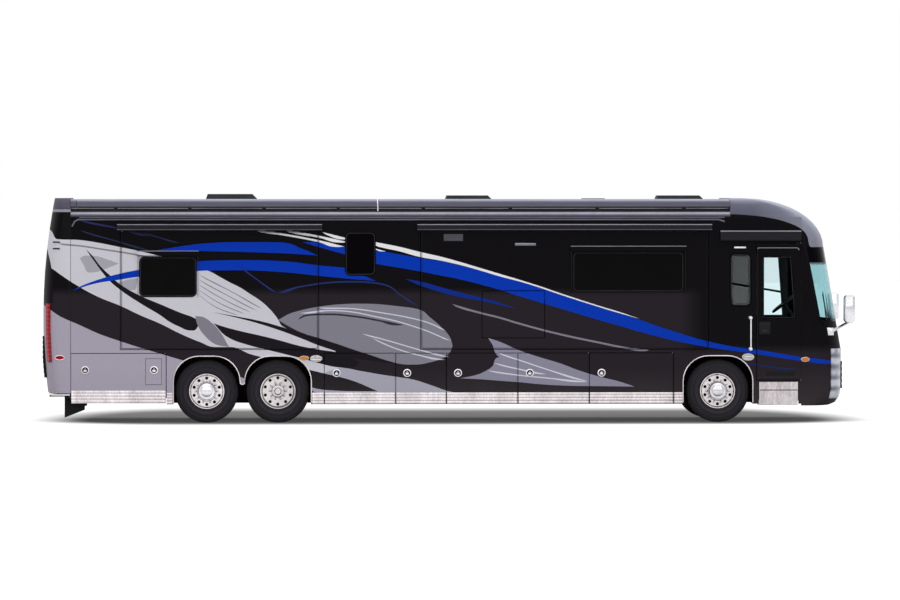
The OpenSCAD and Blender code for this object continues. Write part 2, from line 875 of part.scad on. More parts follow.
// A bay door between two stations, hung on its front edge
bay_head_z = belt_z - bay_head_gap;
function bay_hinge_s(s1) = s1 - panel_gap / 2 - hinge_barrel_r - hinge_inset;
module bay_door(side, s0, s1, rise0 = 0, rise1 = 0) {
    x0 = s0 + panel_gap / 2;
    x1 = s1 - panel_gap / 2;
    foot = skirt_z + rise1;
    hinge_side(side, bay_hinge_s(s1), foot, bay_head_z)
        side_plate(side, inner_w, wall_t)
            polygon([[x0, skirt_z + rise0], [x1, foot], [x1, bay_head_z], [x0, bay_head_z]]);
}
module middle_bay(side, shares, i) {
    run = bay_run[1] - bay_run[0];
    color("#201d23")
        bay_door(side, bay_run[0] + run * shares[i], bay_run[0] + run * shares[i + 1]);
}
module rear_bay(side) {
    color("#8d8a93")
        bay_door(side, wall_s0, rear_bay_end, rear_bay_rise, rear_bay_end_rise);
}

// Hinge pins of every door, held by the body
module door_pins() {
    color("#55575c") {
        run = bay_run[1] - bay_run[0];
        for (set = [[RIGHT, bay_right_shares], [LEFT, bay_left_shares]])
            for (i = [1:len(set[1]) - 1])
                pin(set[0], bay_hinge_s(bay_run[0] + run * set[1][i]), skirt_z, belt_z);
        for (side = [RIGHT, LEFT])
            pin(side, bay_hinge_s(rear_bay_end), skirt_z + rear_bay_end_rise, belt_z);
        pin(RIGHT, entry_s1 - panel_gap / 2, entry_z0, entry_z1);
    }
}
module pin(side, s, z0, z1) {
    translate([s, side * half_w, z0]) cylinder(r = hinge_pin_r, h = z1 - z0);
}

// Entry door with its leaning window
module entry_door() {
    color("#17141a") {
        difference() {
            side_plate(RIGHT, inner_w, wall_t)
                difference() {
                    translate([entry_s0 + panel_gap, entry_z0 + panel_gap])
                        square([entry_w - 2 * panel_gap, entry_z1 - entry_z0 - 2 * panel_gap]);
                    polygon(slanted(win_entry, 0));
                }
            pin_bore();
        }
        hinge_side(RIGHT, entry_s1 - panel_gap / 2, entry_z0 + panel_gap, entry_z1 - panel_gap)
            side_plate(RIGHT, half_w - hinge_leaf_t, hinge_leaf_t)
                translate([entry_s1 - panel_gap / 2 - hinge_leaf, entry_z0 + panel_gap])
                    square([hinge_leaf, entry_z1 - entry_z0 - 2 * panel_gap]);
    }
}
module pin_bore() {
    translate([entry_s1 - panel_gap / 2, -half_w, 0]) cylinder(r = hinge_pin_r + seat_gap, h = cap_top_z);
}
module entry_door_glass() {
    color("#0b0b0d", 0.8)
        side_plate(RIGHT, half_w + seat_gap, glass_t) polygon(slanted(win_entry, glass_lap));
}

// Two folded bright treads under the door on a carrier box
module entry_step() {
    color("#c9c3bf") {
        x0 = entry_s0 + step_rail + panel_gap;
        x1 = entry_s1 - step_rail - panel_gap;
        for (z = [[step_z0, step_split_z - step_seam], [step_split_z, step_z1 - step_seam]])
            side_plate(RIGHT, half_w - step_plate_t, step_plate_t)
                translate([x0, z[0]]) square([x1 - x0, z[1] - z[0]]);
        for (z = [step_z0, step_split_z])
            block([x0, -half_w + step_plate_t, z], [x1, -half_w + step_depth, z + step_plate_t]);
        for (x = [x0, x1 - step_plate_t])
            block(
                [x, -half_w + step_plate_t, step_z0],
                [x + step_plate_t, -half_w + step_depth, entry_z0 - pan_t]
            );
    }
}

// House floor, bay floor, wheel housings and the entry's step well
module underbody() {
    color("#2c2c30") {
        difference() {
            block([wall_s0, -inner_w, deck_z - deck_t], [body_len - nose_depth, inner_w, deck_z]);
            block([entry_s0 - panel_gap, -inner_w - overrun, 0], [wall_s1, -step_well_y, deck_z + overrun]);
        }
        block(
            [drive_s + rear_arch_half + housing_gap, -inner_w + sill_gap, skirt_z],
            [front_s - front_arch_half - housing_gap, inner_w - sill_gap, skirt_z + pan_t]
        );
        both_sides() {
            housing(tag_s - rear_arch_half, drive_s + rear_arch_half);
            housing(front_s - front_arch_half, front_s + front_arch_half);
        }
        step_well();
    }
}
module housing(s0, s1) {
    x0 = s0 - housing_gap;
    x1 = s1 + housing_gap;
    top = deck_z - deck_t;
    block([x0 - housing_t, housing_y, skirt_z], [x0, inner_w, top]);
    block([x1, housing_y, skirt_z], [x1 + housing_t, inner_w, top]);
    difference() {
        block([x0 - housing_t, housing_y - housing_t, skirt_z], [x1 + housing_t, housing_y, top]);
        for (s = [tag_s, drive_s, front_s])
            block(
                [s - axle_slot, housing_y - 2 * housing_t, 0],
                [s + axle_slot, inner_w, tyre_r + axle_slot]
            );
    }
}
module step_well() {
    x0 = entry_s0 - panel_gap - housing_t;
    block([x0, -inner_w, entry_z0 - pan_t], [wall_s1, -step_well_y, entry_z0]);
    block([x0, -step_well_y - housing_t, entry_z0 - pan_t], [wall_s1, -step_well_y, deck_z]);
    block([x0, -inner_w, entry_z0 - pan_t], [x0 + housing_t, -step_well_y, deck_z]);
}

// Ladder frame under the deck
module chassis() {
    color("#1b1b1d") {
        both_sides()
            block([rail_s0, rail_y, rail_z], [rail_s1, rail_y + rail_w, rail_z + rail_h]);
        for (share = cross_shares) {
            s = rail_s0 + (rail_s1 - rail_s0 - cross_w) * share;
            block([s, -rail_y, rail_z + rail_h - cross_h], [s + cross_w, rail_y, rail_z + rail_h]);
        }
        rear_beam();
    }
}
// Cross beam for the receiver and the flap, hung from the rails
module rear_beam() {
    block(
        [hitch_beam_s, -hitch_beam_w / 2, hitch_beam_z],
        [hitch_beam_s + hitch_beam_h, hitch_beam_w / 2, hitch_beam_z + hitch_beam_h]
    );
    both_sides()
        block([hitch_beam_s, rail_y, hitch_beam_z], [hitch_beam_s + hitch_beam_h, rail_y + rail_w, rail_z]);
}

// Air springs that carry the rails on a beam
module air_springs(s) {
    for (side = [RIGHT, LEFT], x = [s - bag_offset, s + bag_offset]) {
        translate([x, side * bag_y, tyre_r + perch_h]) cylinder(r = bag_r, h = rail_z - tyre_r - perch_h);
        translate([x, side * bag_y, tyre_r + perch_h / 2]) cube([perch_w, perch_w, perch_h], center = true);
    }
    for (side = [RIGHT, LEFT])
        translate([s, side * bag_y, tyre_r + perch_h / 2])
            cube([2 * bag_offset, perch_w / 2, perch_h], center = true);
}

// Round beam across the coach
module beam(s, half, r) {
    translate([s, half, tyre_r]) rotate([90, 0, 0]) cylinder(r = r, h = 2 * half);
}

kingpin_y = wheel_y - kingpin_offset;
module axles() {
    color("#26262a") {
        front_axle();
        drive_axle();
        tag_axle();
    }
}
module front_axle() {
    difference() {
        union() {
            beam(front_s, kingpin_y, axle_r);
            for (side = [RIGHT, LEFT])
                translate([front_s, side * kingpin_y, tyre_r])
                    cylinder(r = pin_boss_r, h = knuckle_h, center = true);
        }
        for (side = [RIGHT, LEFT])
            translate([front_s, side * kingpin_y, 0]) cylinder(r = kingpin_r + seat_gap, h = tyre_d);
    }
    air_springs(front_s);
}

// Steering knuckle: a fork round the axle's end, its kingpin and the wheel spindle
module knuckle(side) {
    color("#34343a") {
        y = side * kingpin_y;
        translate([front_s, y, tyre_r]) cylinder(r = kingpin_r, h = pin_boss_h, center = true);
        for (z = [1, -1])
            translate([front_s, y, tyre_r + z * (pin_boss_h - knuckle_jaw) / 2])
                cylinder(r = pin_boss_r, h = knuckle_jaw - 2 * seat_gap, center = true);
        translate([front_s, side * (kingpin_y + pin_boss_r + knuckle_jaw / 4), tyre_r])
            cube([pin_boss_r * 2, knuckle_jaw / 2, pin_boss_h - 2 * seat_gap], center = true);
        for (z = [1, -1])
            translate([
                front_s, side * (kingpin_y + pin_boss_r / 2), tyre_r + z * (pin_boss_h - knuckle_jaw) / 2
            ])
                cube([pin_boss_r, pin_boss_r, knuckle_jaw - 2 * seat_gap], center = true);
        spindle(front_s, side, kingpin_y + pin_boss_r, wheel_y + rim_w / 2 - steer_disc_inset);
    }
}
module spindle(s, side, y0, y1) {
    translate([s, side * y0, tyre_r])
        rotate([side > 0 ? -90 : 90, 0, 0]) cylinder(r = spindle_r, h = y1 - y0);
}

module drive_axle() {
    shaft_s = engine_s0 + engine_len + gearbox_len;
    beam(drive_s, wheel_y - dual_pitch - tyre_w / 2, drive_axle_r);
    translate([drive_s, 0, tyre_r]) sphere(r = diff_r);
    for (side = [RIGHT, LEFT])
        spindle(drive_s, side, 0, wheel_y + rim_w / 2 - drive_disc_inset);
    translate([shaft_s + seat_gap, 0, tyre_r + shaft_rise])
        rotate([0, 90, 0]) cylinder(r = shaft_r, h = drive_s - shaft_s);
    air_springs(drive_s);
}

module tag_axle() {
    beam(tag_s, wheel_y - tyre_w / 2, axle_r);
    for (side = [RIGHT, LEFT])
        spindle(tag_s, side, 0, wheel_y + rim_w / 2 - steer_disc_inset);
    air_springs(tag_s);
}

// Tyre section: bead, bulged sidewall and tread, turned round the axle
bead_r = rim_r - flange_t;
tread_share = 0.74;
shoulder_share = 0.9;
wall_mid_share = 0.48;
wall_span_share = 0.39;
wall_bulge_share = 0.14;
bead_half = rim_w / 2 - flange_t;
function tyre_section() =
    let (
        h = tyre_r - bead_r, w = tyre_w / 2,
        shoulder = [tyre_r - h * (1 - shoulder_share) / 2, w * (tread_share + shoulder_share) / 2]
    )
    concat(
        [[bead_r, -bead_half], [bead_r, bead_half], [rim_r + seat_gap, bead_half]],
        [for (a = [-50:20:50]) wall_point(a, h, w)],
        [shoulder, [tyre_r, w * tread_share], [tyre_r, -w * tread_share], [shoulder[0], -shoulder[1]]],
        [for (a = [50:-20:-50]) wall_point(a, h, -w)],
        [[rim_r + seat_gap, -bead_half]]
    );
function wall_point(a, h, w) = [
    bead_r + h * (wall_mid_share + wall_span_share * sin(a) / sin(50)),
    w * (1 - wall_bulge_share * (1 - cos(a)) / (1 - cos(50)))
];
module on_axle(s, side, y) {
    translate([s, side * y, tyre_r]) rotate([side > 0 ? -90 : 90, 0, 0]) children();
}
module tyre() {
    color("#1c1b1e") rotate_extrude($fn = 96) polygon(tyre_section());
}

module twin_tyres(side) {
    for (p = [0, dual_pitch]) on_axle(drive_s, side, wheel_y - p) tyre();
}

// Rim barrel with its bead seats, +Z outboard
module rim_barrel() {
    h = rim_w / 2;
    seat = bead_r - seat_gap;
    rotate_extrude($fn = 96)
        polygon([
            [seat - rim_t * 2, -h + 3 * flange_t], [seat - rim_t * 2, h - 3 * flange_t],
            [rim_r - rim_t, h], [rim_r, h], [rim_r, h - flange_t + seat_gap],
            [seat, h - flange_t], [seat, h - 3 * flange_t], [seat - rim_t, 0],
            [seat, -h + 3 * flange_t], [seat, -h + flange_t],
            [rim_r, -h + flange_t - seat_gap], [rim_r, -h], [rim_r - rim_t, -h]
        ]);
}
// Wheel disc with hand holes, hub cap and nut covers, its face at an inset from the outer flange
module rim_disc(inset, cap_r, cap_h, hub_len) {
    face = rim_w / 2 - inset;
    difference() {
        union() {
            translate([0, 0, face - disc_t]) cylinder(r = bead_r - rim_t * disc_seat_share, h = disc_t);
            translate([0, 0, face]) cylinder(r1 = cap_r, r2 = cap_r * hub_taper_share, h = cap_h);
            for (i = [0:nut_count - 1])
                rotate(i * 360 / nut_count)
                    translate([cap_r + nut_r + nut_gap, 0, face - disc_t / 2])
                        cylinder(r = nut_r, h = nut_h + disc_t / 2);
            translate([0, 0, face - disc_t - hub_len]) cylinder(r = hub_r, h = hub_len);
        }
        for (i = [0:hand_holes - 1])
            rotate((i + 0.5) * 360 / hand_holes)
                translate([hand_hole_pcr, 0, face - disc_t - overrun])
                    cylinder(r = hand_hole_r, h = disc_t + 2 * overrun);
        translate([0, 0, -rim_w - dual_pitch])
            cylinder(r = spindle_r + seat_gap, h = rim_w + dual_pitch + face + seat_gap);
    }
}
module steer_rim() {
    color("#c8c8cc") {
        rim_barrel();
        rim_disc(steer_disc_inset, hub_cap_r, hub_cap_h, steer_hub_len);
    }
}
module twin_rims() {
    color("#c8c8cc") {
        rim_barrel();
        rim_disc(drive_disc_inset, drive_hub_r, drive_hub_h, twin_hub_len);
        translate([0, 0, -dual_pitch]) rim_barrel();
        translate([0, 0, rim_w / 2 - drive_disc_inset - disc_t - twin_hub_len])
            difference() {
                cylinder(r = bead_r - rim_t * disc_seat_share, h = disc_t);
                translate([0, 0, -overrun]) cylinder(r = spindle_r + seat_gap, h = disc_t + 2 * overrun);
            }
    }
}

// Engine and gearbox between the rails at the rear
module engine() {
    color("#4a4c50") {
        top = rail_z + rail_h - cross_h - panel_gap;
        block([engine_s0, -engine_w / 2, top - engine_h], [engine_s0 + engine_len, engine_w / 2, top]);
        block(
            [engine_s0 + engine_len, -gearbox_w / 2, tyre_r + shaft_rise - gearbox_h / 2],
            [engine_s0 + engine_len + gearbox_len, gearbox_w / 2, tyre_r + shaft_rise + gearbox_h / 2]
        );
        for (x = [engine_s0 + mount_w, engine_s0 + engine_len - 2 * mount_w])
            block(
                [x, -rail_y + seat_gap, top - cross_h - mount_w],
                [x + mount_w, rail_y - seat_gap, top - cross_h]
            );
    }
}

// Tow receiver: a square socket with a cross hole for its pin
module tow_hitch() {
    color("#1b1b1d")
        difference() {
            block(
                [hitch_s0, -hitch_tube / 2, hitch_beam_z],
                [hitch_beam_s, hitch_tube / 2, hitch_beam_z + hitch_tube]
            );
            translate([hitch_s0 - overrun, -hitch_bore / 2, hitch_beam_z + (hitch_tube - hitch_bore) / 2])
                cube([hitch_beam_s - hitch_s0, hitch_bore, hitch_bore]);
            translate([hitch_s0 + hitch_pin_inset, hitch_tube, hitch_beam_z + hitch_tube / 2])
                rotate([90, 0, 0]) cylinder(r = hitch_pin_r, h = 2 * hitch_tube);
        }
}
module mud_flap() {
    color("#151517")
        block(
            [hitch_beam_s, -hitch_beam_w / 2, flap_z],
            [hitch_beam_s + flap_t, hitch_beam_w / 2, hitch_beam_z]
        );
}

// Awning cases: rounded on the outside, flat against the body
module case_profile(t, h) {
    y = t - case_r;
    polygon(concat(
        [[0, 0]], arc(y, case_r, case_r, 270, 360), arc(y, h - case_r, case_r, 0, 90), [[0, h]]
    ));
}
module side_case(side, s0, s1, z, t, h) {
    mirror([0, side > 0 ? 0 : 1, 0])
        translate([s0, half_w, z]) rotate([90, 0, 90]) linear_extrude(s1 - s0) case_profile(t, h);
}
module topper(side, s) {
    side_case(side, s[0] - topper_over, s[1] + topper_over, topper_z0, topper_t, topper_h);
}
module awnings() {
    color("#3a3840") {
        topper(RIGHT, slide_rr);
        topper(RIGHT, slide_rf);
        topper(LEFT, slide_lf);
        side_case(RIGHT, porch_s[0], porch_s[1], porch_z0, porch_t, porch_h);
        for (i = [0, 2]) roof_roller(roller_s[i], roller_s[i + 1]);
    }
}
// Long roller case on feet along the roof's right edge
module roof_roller(s0, s1) {
    h = roller_z1 - roller_z0;
    translate([s0, -half_w + roller_w, roller_z0])
        rotate([90, 0, 90]) linear_extrude(s1 - s0)
            polygon(concat(
                [[0, 0]], arc(case_r - roller_w, case_r, case_r, 270, 180),
                arc(h / 2 - roller_w, h / 2, h / 2, 180, 90), [[0, h]]
            ));
    difference() {
        for (i = [0:roller_feet - 1])
            translate([
                s0 + (s1 - s0 - roller_foot_w) * (i + 0.5) / roller_feet,
                -half_w + roller_w * (1 - roller_foot_share), wall_top_z
            ])
                cube([roller_foot_w, roller_w * roller_foot_share, roller_z0 - wall_top_z]);
        translate([s0 - overrun, 0, 0])
            rotate([90, 0, 90]) linear_extrude(s1 - s0 + 2 * overrun) polygon(roof_line(0));
    }
}

// Air conditioners, vents and a low dome along the roof's middle
module roof_units() {
    color("#202024")
        difference() {
            union() {
                for (u = air_units) air_unit(u);
                for (s = vent_s)
                    block(
                        [s, -vent_w / 2, air_foot_z],
                        [s + vent_w, vent_w / 2, wall_top_z + roof_r + roof_crown + vent_h]
                    );
                translate([dome_s, 0, air_foot_z])
                    cylinder(r1 = dome_r, r2 = dome_r * dome_top_share, h = dome_h + air_sink);
            }
            translate([wall_s0, 0, 0]) rotate([90, 0, 90]) linear_extrude(body_len) polygon(roof_line(0));
        }
}
module air_unit(u) {
    hull() {
        block([u[0], -air_w / 2, air_foot_z], [u[1], air_w / 2, u[2] - air_draft]);
        block(
            [u[0] + air_draft * air_nose_share, -air_w / 2 + air_draft, air_foot_z],
            [u[1] - air_draft, air_w / 2 - air_draft, u[2]]
        );
    }
}

// Oval side lamps on both walls
module oval(l, h) {
    polygon([for (a = [0:15:345]) [l / 2 * cos(a), h / 2 * sin(a)]]);
}
module marker_lamps() {
    color("#d8a24a")
        for (side = [RIGHT, LEFT]) {
            for (p = marker_spots) spot(side, p);
            for (p = dock_spots) spot(side, p);
        }
}
module spot(side, p) {
    side_plate(side, half_w + seat_gap, lamp_t) translate([p[0], p[1]]) oval(p[2], p[3]);
}

// Mirror on a bracket at the nose's corner
module mirrors() {
    color("#d9d9dd") both_sides() mirror_arm();
}
module mirror_arm() {
    difference() {
        union() {
            translate([mirror_base_s, mirror_base_y, mirror_base_z]) cube(mirror_base, center = true);
            hull() {
                translate([mirror_base_s, mirror_base_y, mirror_base_z])
                    translate([mirror_base[0] * arm_root_shares[0], mirror_base[1] * arm_root_shares[1], 0])
                        sphere(r = mirror_arm_r, $fn = 16);
                translate([mirror_head_s, mirror_head_y, mirror_arm_z]) sphere(r = mirror_arm_r, $fn = 16);
            }
        }
        loft([for (z = nose_levels) nose_ring(z, -seat_gap, fairing_s)]);
    }
    hull()
        for (x = [-1, 1], y = [-1, 1], z = [-1, 1])
            translate([
                mirror_head_s + x * (mirror_head[0] / 2 - mirror_head_r),
                mirror_head_y + y * (mirror_head[1] / 2 - mirror_head_r),
                mirror_head_z + z * (mirror_head[2] / 2 - mirror_head_r)
            ]) sphere(r = mirror_head_r, $fn = 16);
}

// Cab: dashboard, steering wheel on its column, two chairs
module dashboard() {
    color("#2b2a2e") {
        translate([0, dash_w / 2, 0]) rotate([90, 0, 0]) linear_extrude(dash_w)
            polygon([
                [dash_s[0], deck_z + dash_h * dash_lip_share],
                [dash_foot[0], deck_z], [dash_foot[1], deck_z],
                [dash_s[1], deck_z + dash_h * dash_knee_share], [dash_s[1], deck_z + dash_h],
                [dash_s[0] + dash_visor, deck_z + dash_h + dash_visor], [dash_s[0], deck_z + dash_h]
            ]);
        steering_wheel();
    }
}
module steering_wheel() {
    translate([wheel_s, wheel_side_y, wheel_z]) rotate([0, -hand_wheel_tilt, 0]) {
        rotate_extrude() translate([hand_wheel_r, 0]) circle(r = hand_wheel_rim_r);
        for (a = [0, 120, 240]) rotate(a)
            translate([0, -hand_wheel_rim_r, -hand_wheel_rim_r / 2])
                cube([hand_wheel_r, 2 * hand_wheel_rim_r, hand_wheel_rim_r]);
        mirror([0, 0, 1]) cylinder(r = column_r, h = column_l);
    }
}
module cab_seats() {
    color("#3a3532")
        for (side = [RIGHT, LEFT]) translate([seat_s, side * seat_y, deck_z]) {
            block(
                [seat_len * seat_foot_share, -seat_base_w / 2, 0],
                [seat_len, seat_base_w / 2, seat_base_h]
            );
            block([0, -seat_w / 2, seat_base_h], [seat_len, seat_w / 2, seat_base_h + seat_h]);
            translate([0, seat_w / 2, 0]) rotate([90, 0, 0]) linear_extrude(seat_w)
                polygon([
                    [0, seat_base_h], [seat_back_t, seat_base_h],
                    [seat_back_t - seat_lean, seat_base_h + seat_back_h],
                    [-seat_lean, seat_base_h + seat_back_h]
                ]);
            translate([-seat_lean, -head_rest_w / 2, seat_base_h + seat_back_h])
                cube([seat_back_t * head_rest_share, head_rest_w, head_rest_h]);
        }
}

place() chassis();
place() underbody();
place() wall_right();
place() wall_left();
place() roof();
place() front_cap();
place() rear_cap();
place() cab_glass();
place() grilles();
place() head_lamps();
place() tail_lamps();
place() marker_lamps();
place() roof_units();
place() awnings();
place() mirrors();
place() dashboard();
place() cab_seats();
place() axles();
place() engine();
place() tow_hitch();
place() mud_flap();
place() entry_step();
place() door_pins();
place() knuckle(RIGHT);  // knuckle_right
place() knuckle(LEFT);  // knuckle_left
place() on_axle(front_s, RIGHT, wheel_y) steer_rim();  // front_rim_right
place() on_axle(front_s, RIGHT, wheel_y) tyre();  // front_tyre_right
place() on_axle(front_s, LEFT, wheel_y) steer_rim();  // front_rim_left
place() on_axle(front_s, LEFT, wheel_y) tyre();  // front_tyre_left
place() on_axle(drive_s, RIGHT, wheel_y) twin_rims();  // drive_rims_right
place() twin_tyres(RIGHT);  // drive_tyres_right
place() on_axle(drive_s, LEFT, wheel_y) twin_rims();  // drive_rims_left
place() twin_tyres(LEFT);  // drive_tyres_left
place() on_axle(tag_s, RIGHT, wheel_y) steer_rim();  // tag_rim_right
place() on_axle(tag_s, RIGHT, wheel_y) tyre();  // tag_tyre_right
place() on_axle(tag_s, LEFT, wheel_y) steer_rim();  // tag_rim_left
place() on_axle(tag_s, LEFT, wheel_y) tyre();  // tag_tyre_left
place() slide_right_rear();
place() slide_right_rear_glass();
place() slide_right_front();
place() slide_right_front_glass();
place() tv_hatch();
place() slide_left();
place() slide_left_glass();
place() entry_door();
place() entry_door_glass();
place() rear_bay(RIGHT);  // bay_door_right_rear
place() middle_bay(RIGHT, bay_right_shares, 0);  // bay_door_right_1
place() middle_bay(RIGHT, bay_right_shares, 1);  // bay_door_right_2
place() middle_bay(RIGHT, bay_right_shares, 2);  // bay_door_right_3
place() middle_bay(RIGHT, bay_right_shares, 3);  // bay_door_right_4
place() middle_bay(RIGHT, bay_right_shares, 4);  // bay_door_right_5
place() rear_bay(LEFT);  // bay_door_left_rear
place() middle_bay(LEFT, bay_left_shares, 0);  // bay_door_left_1
place() middle_bay(LEFT, bay_left_shares, 1);  // bay_door_left_2
place() middle_bay(LEFT, bay_left_shares, 2);  // bay_door_left_3
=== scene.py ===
import math
import bmesh
import bpy
from mathutils import Matrix, Vector


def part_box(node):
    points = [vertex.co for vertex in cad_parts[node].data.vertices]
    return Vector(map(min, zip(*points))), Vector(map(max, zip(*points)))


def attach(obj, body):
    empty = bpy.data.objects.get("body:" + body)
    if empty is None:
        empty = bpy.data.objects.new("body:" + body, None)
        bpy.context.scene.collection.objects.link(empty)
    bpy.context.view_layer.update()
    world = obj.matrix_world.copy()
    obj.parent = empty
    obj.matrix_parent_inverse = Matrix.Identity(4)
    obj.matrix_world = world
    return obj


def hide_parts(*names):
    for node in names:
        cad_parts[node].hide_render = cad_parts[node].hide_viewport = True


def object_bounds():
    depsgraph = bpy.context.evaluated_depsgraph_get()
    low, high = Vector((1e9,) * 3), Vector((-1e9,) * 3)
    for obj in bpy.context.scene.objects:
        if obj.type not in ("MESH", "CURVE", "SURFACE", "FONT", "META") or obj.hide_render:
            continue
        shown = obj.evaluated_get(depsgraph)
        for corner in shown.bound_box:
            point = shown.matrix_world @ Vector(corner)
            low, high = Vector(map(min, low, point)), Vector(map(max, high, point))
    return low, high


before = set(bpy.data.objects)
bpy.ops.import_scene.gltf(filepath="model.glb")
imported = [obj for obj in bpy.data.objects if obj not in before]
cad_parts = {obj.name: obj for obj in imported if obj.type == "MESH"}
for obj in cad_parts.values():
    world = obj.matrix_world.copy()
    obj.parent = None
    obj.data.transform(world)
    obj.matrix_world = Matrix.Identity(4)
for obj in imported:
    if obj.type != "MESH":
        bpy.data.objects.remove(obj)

cad_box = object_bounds()


# Ladder frame, axles, knuckles and tow beam: pressed and welded steel under black chassis
# enamel, bolted up before the body goes on. The enamel is satin, and road film dulls it.
def linear(code):
    """An sRGB hex colour as linear RGBA."""
    parts = [int(code[i:i + 2], 16) / 255 for i in (1, 3, 5)]
    return tuple(v / 12.92 if v <= 0.04045 else ((v + 0.055) / 1.055) ** 2.4 for v in parts) + (1.0,)


def add(tree, kind, settings=None, **sockets):
    """Adds a shader node with its settings and links; i0, i6 and the like name a socket by number."""
    made = tree.nodes.new("ShaderNode" + kind)
    for key, value in (settings or {}).items():
        setattr(made, key, value)
    for key, value in sockets.items():
        socket = made.inputs[int(key[1:]) if key[1:].isdigit() else key.replace("_", " ")]
        if isinstance(value, bpy.types.NodeSocket):
            tree.links.new(value, socket)
        else:
            socket.default_value = value
    return made


def new_finish(name):
    """A new material, with its node tree and its shader."""
    finish = bpy.data.materials.new(name)
    finish.use_nodes = True
    return finish, finish.node_tree, finish.node_tree.nodes["Principled BSDF"]


def mottled(name, dark, light, grain_mm, rough, metallic=0.0, bump=0.15, stretch=(1, 1, 1)):
    """A finish whose colour and gloss drift over grain_mm, with a fine bump of the same grain."""
    finish, tree, shader = new_finish(name)
    shader.inputs["Metallic"].default_value = metallic
    shader.inputs["Specular IOR Level"].default_value = 0.5 if metallic == 1.0 else 0.15
    spot = add(tree, "TexCoord").outputs["Object"]
    spot = add(tree, "Mapping", Vector=spot, Scale=stretch).outputs[0]
    grain = add(tree, "TexNoise", Vector=spot, Scale=1000 / grain_mm, Detail=6.0, Roughness=0.6).outputs[0]
    cloud = add(tree, "TexNoise", Vector=spot, Scale=1000 / (grain_mm * 14), Detail=3.0).outputs[0]
    drift = add(tree, "Math", {"operation": "ADD"}, i0=grain, i1=cloud).outputs[0]
    share = add(tree, "MapRange", Value=drift, From_Min=0.75, From_Max=1.25).outputs[0]
    tone = add(tree, "Mix", {"data_type": "RGBA"}, i0=share, i6=linear(dark), i7=linear(light)).outputs[2]
    tree.links.new(tone, shader.inputs["Base Color"])
    gloss = add(tree, "MapRange", Value=drift, From_Min=0.6, From_Max=1.4,
                To_Min=rough * 0.8, To_Max=min(1.0, rough * 1.2)).outputs[0]
    tree.links.new(gloss, shader.inputs["Roughness"])
    relief = add(tree, "Bump", Height=grain, Strength=bump, Distance=grain_mm / 4000).outputs[0]
    tree.links.new(relief, shader.inputs["Normal"])
    return finish


def dress(finish, *names):
    """Gives a finish to nodes of the CAD model."""
    for name in names:
        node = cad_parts[name]
        if not node.material_slots:
            node.data.materials.append(finish)
        for place in node.material_slots:
            place.material = finish


chassis_enamel = mottled("black_chassis_enamel", "#131316", "#26262a", 18, 0.5)
dress(chassis_enamel, "chassis", "axles", "knuckle_right", "knuckle_left", "tow_hitch")

# Engine and gearbox: one plain casting, sand-cast iron with a coat of grey machine paint.
# The sand leaves a pebbled skin a few millimetres across.
cast_iron = mottled("painted_cast_iron", "#4d5052", "#6d7072", 5, 0.6, 0.3, 0.5)
dress(cast_iron, "engine")

# Underbody, deck, wheel housings and step well: aluminium sheet and ply under sprayed black
# undercoat, which dries to a coarse matt stipple.
undercoat = mottled("sprayed_undercoat", "#0d0d0f", "#1c1c1f", 7, 0.85, 0.0, 0.6)
dress(undercoat, "underbody")

# Rear flap: a sheet of black rubber clamped under the tow beam. The mould leaves a fine
# ribbing along it.
flap_rubber = mottled("moulded_flap_rubber", "#111112", "#212123", 9, 0.75, 0.0, 0.5, (0.3, 1, 3))
dress(flap_rubber, "mud_flap")

# Hinge pins: bright steel rods that the doors swing on. The lathe leaves fine rings round
# them.
pin_steel = mottled("turned_pin_steel", "#9b9ca0", "#c3c4c8", 3, 0.3, 1.0, 0.1, (1, 1, 0.1))
dress(pin_steel, "door_pins")


# Tyres: eight steel-belted truck radials, moulded in black rubber, with ribs on the sidewall,
# four grooves round the tread and notched shoulders. The sidewalls carry a grey road bloom.
def join(bm, fresh):
    """Adds one bmesh to another and frees it."""
    made = bpy.data.meshes.new("joined")
    fresh.to_mesh(made)
    fresh.free()
    bm.from_mesh(made)
    bpy.data.meshes.remove(made)


def turned(bm, profile, centre, outward, steps):
    """Spins a profile of (radius, height) about an axis that leaves centre along outward."""
    fresh = bmesh.new()
    rim = [fresh.verts.new((r, 0.0, h)) for r, h in profile]
    line = [fresh.edges.new(pair) for pair in zip(rim, rim[1:])]
    bmesh.ops.spin(fresh, geom=rim + line, cent=(0, 0, 0), axis=(0, 0, 1), angle=math.tau,
                   steps=steps, use_merge=True)
    bmesh.ops.remove_doubles(fresh, verts=fresh.verts, dist=1e-5)
    turn = Vector((0, 0, 1)).rotation_difference(Vector(outward)).to_matrix().to_4x4()
    bmesh.ops.transform(fresh, matrix=Matrix.Translation(centre) @ turn, verts=fresh.verts)
    bmesh.ops.recalc_face_normals(fresh, faces=fresh.faces)
    join(bm, fresh)


def placed_object(name, bm):
    """An object in the scene, made from a bmesh that is freed."""
    mesh = bpy.data.meshes.new(name)
    bm.to_mesh(mesh)
    bm.free()
    made = bpy.data.objects.new(name, mesh)
    bpy.context.scene.collection.objects.link(made)
    return made


def piece(name, bm, finish, body, smooth=35):
    """A finished piece that rides on a body; edges sharper than smooth degrees stay crisp."""
    made = placed_object(name, bm)
    made.data.polygons.foreach_set("use_smooth", [True] * len(made.data.polygons))
    made.data.set_sharp_from_angle(angle=math.radians(smooth))
    made.data.materials.append(finish)
    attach(made, body)
    return made


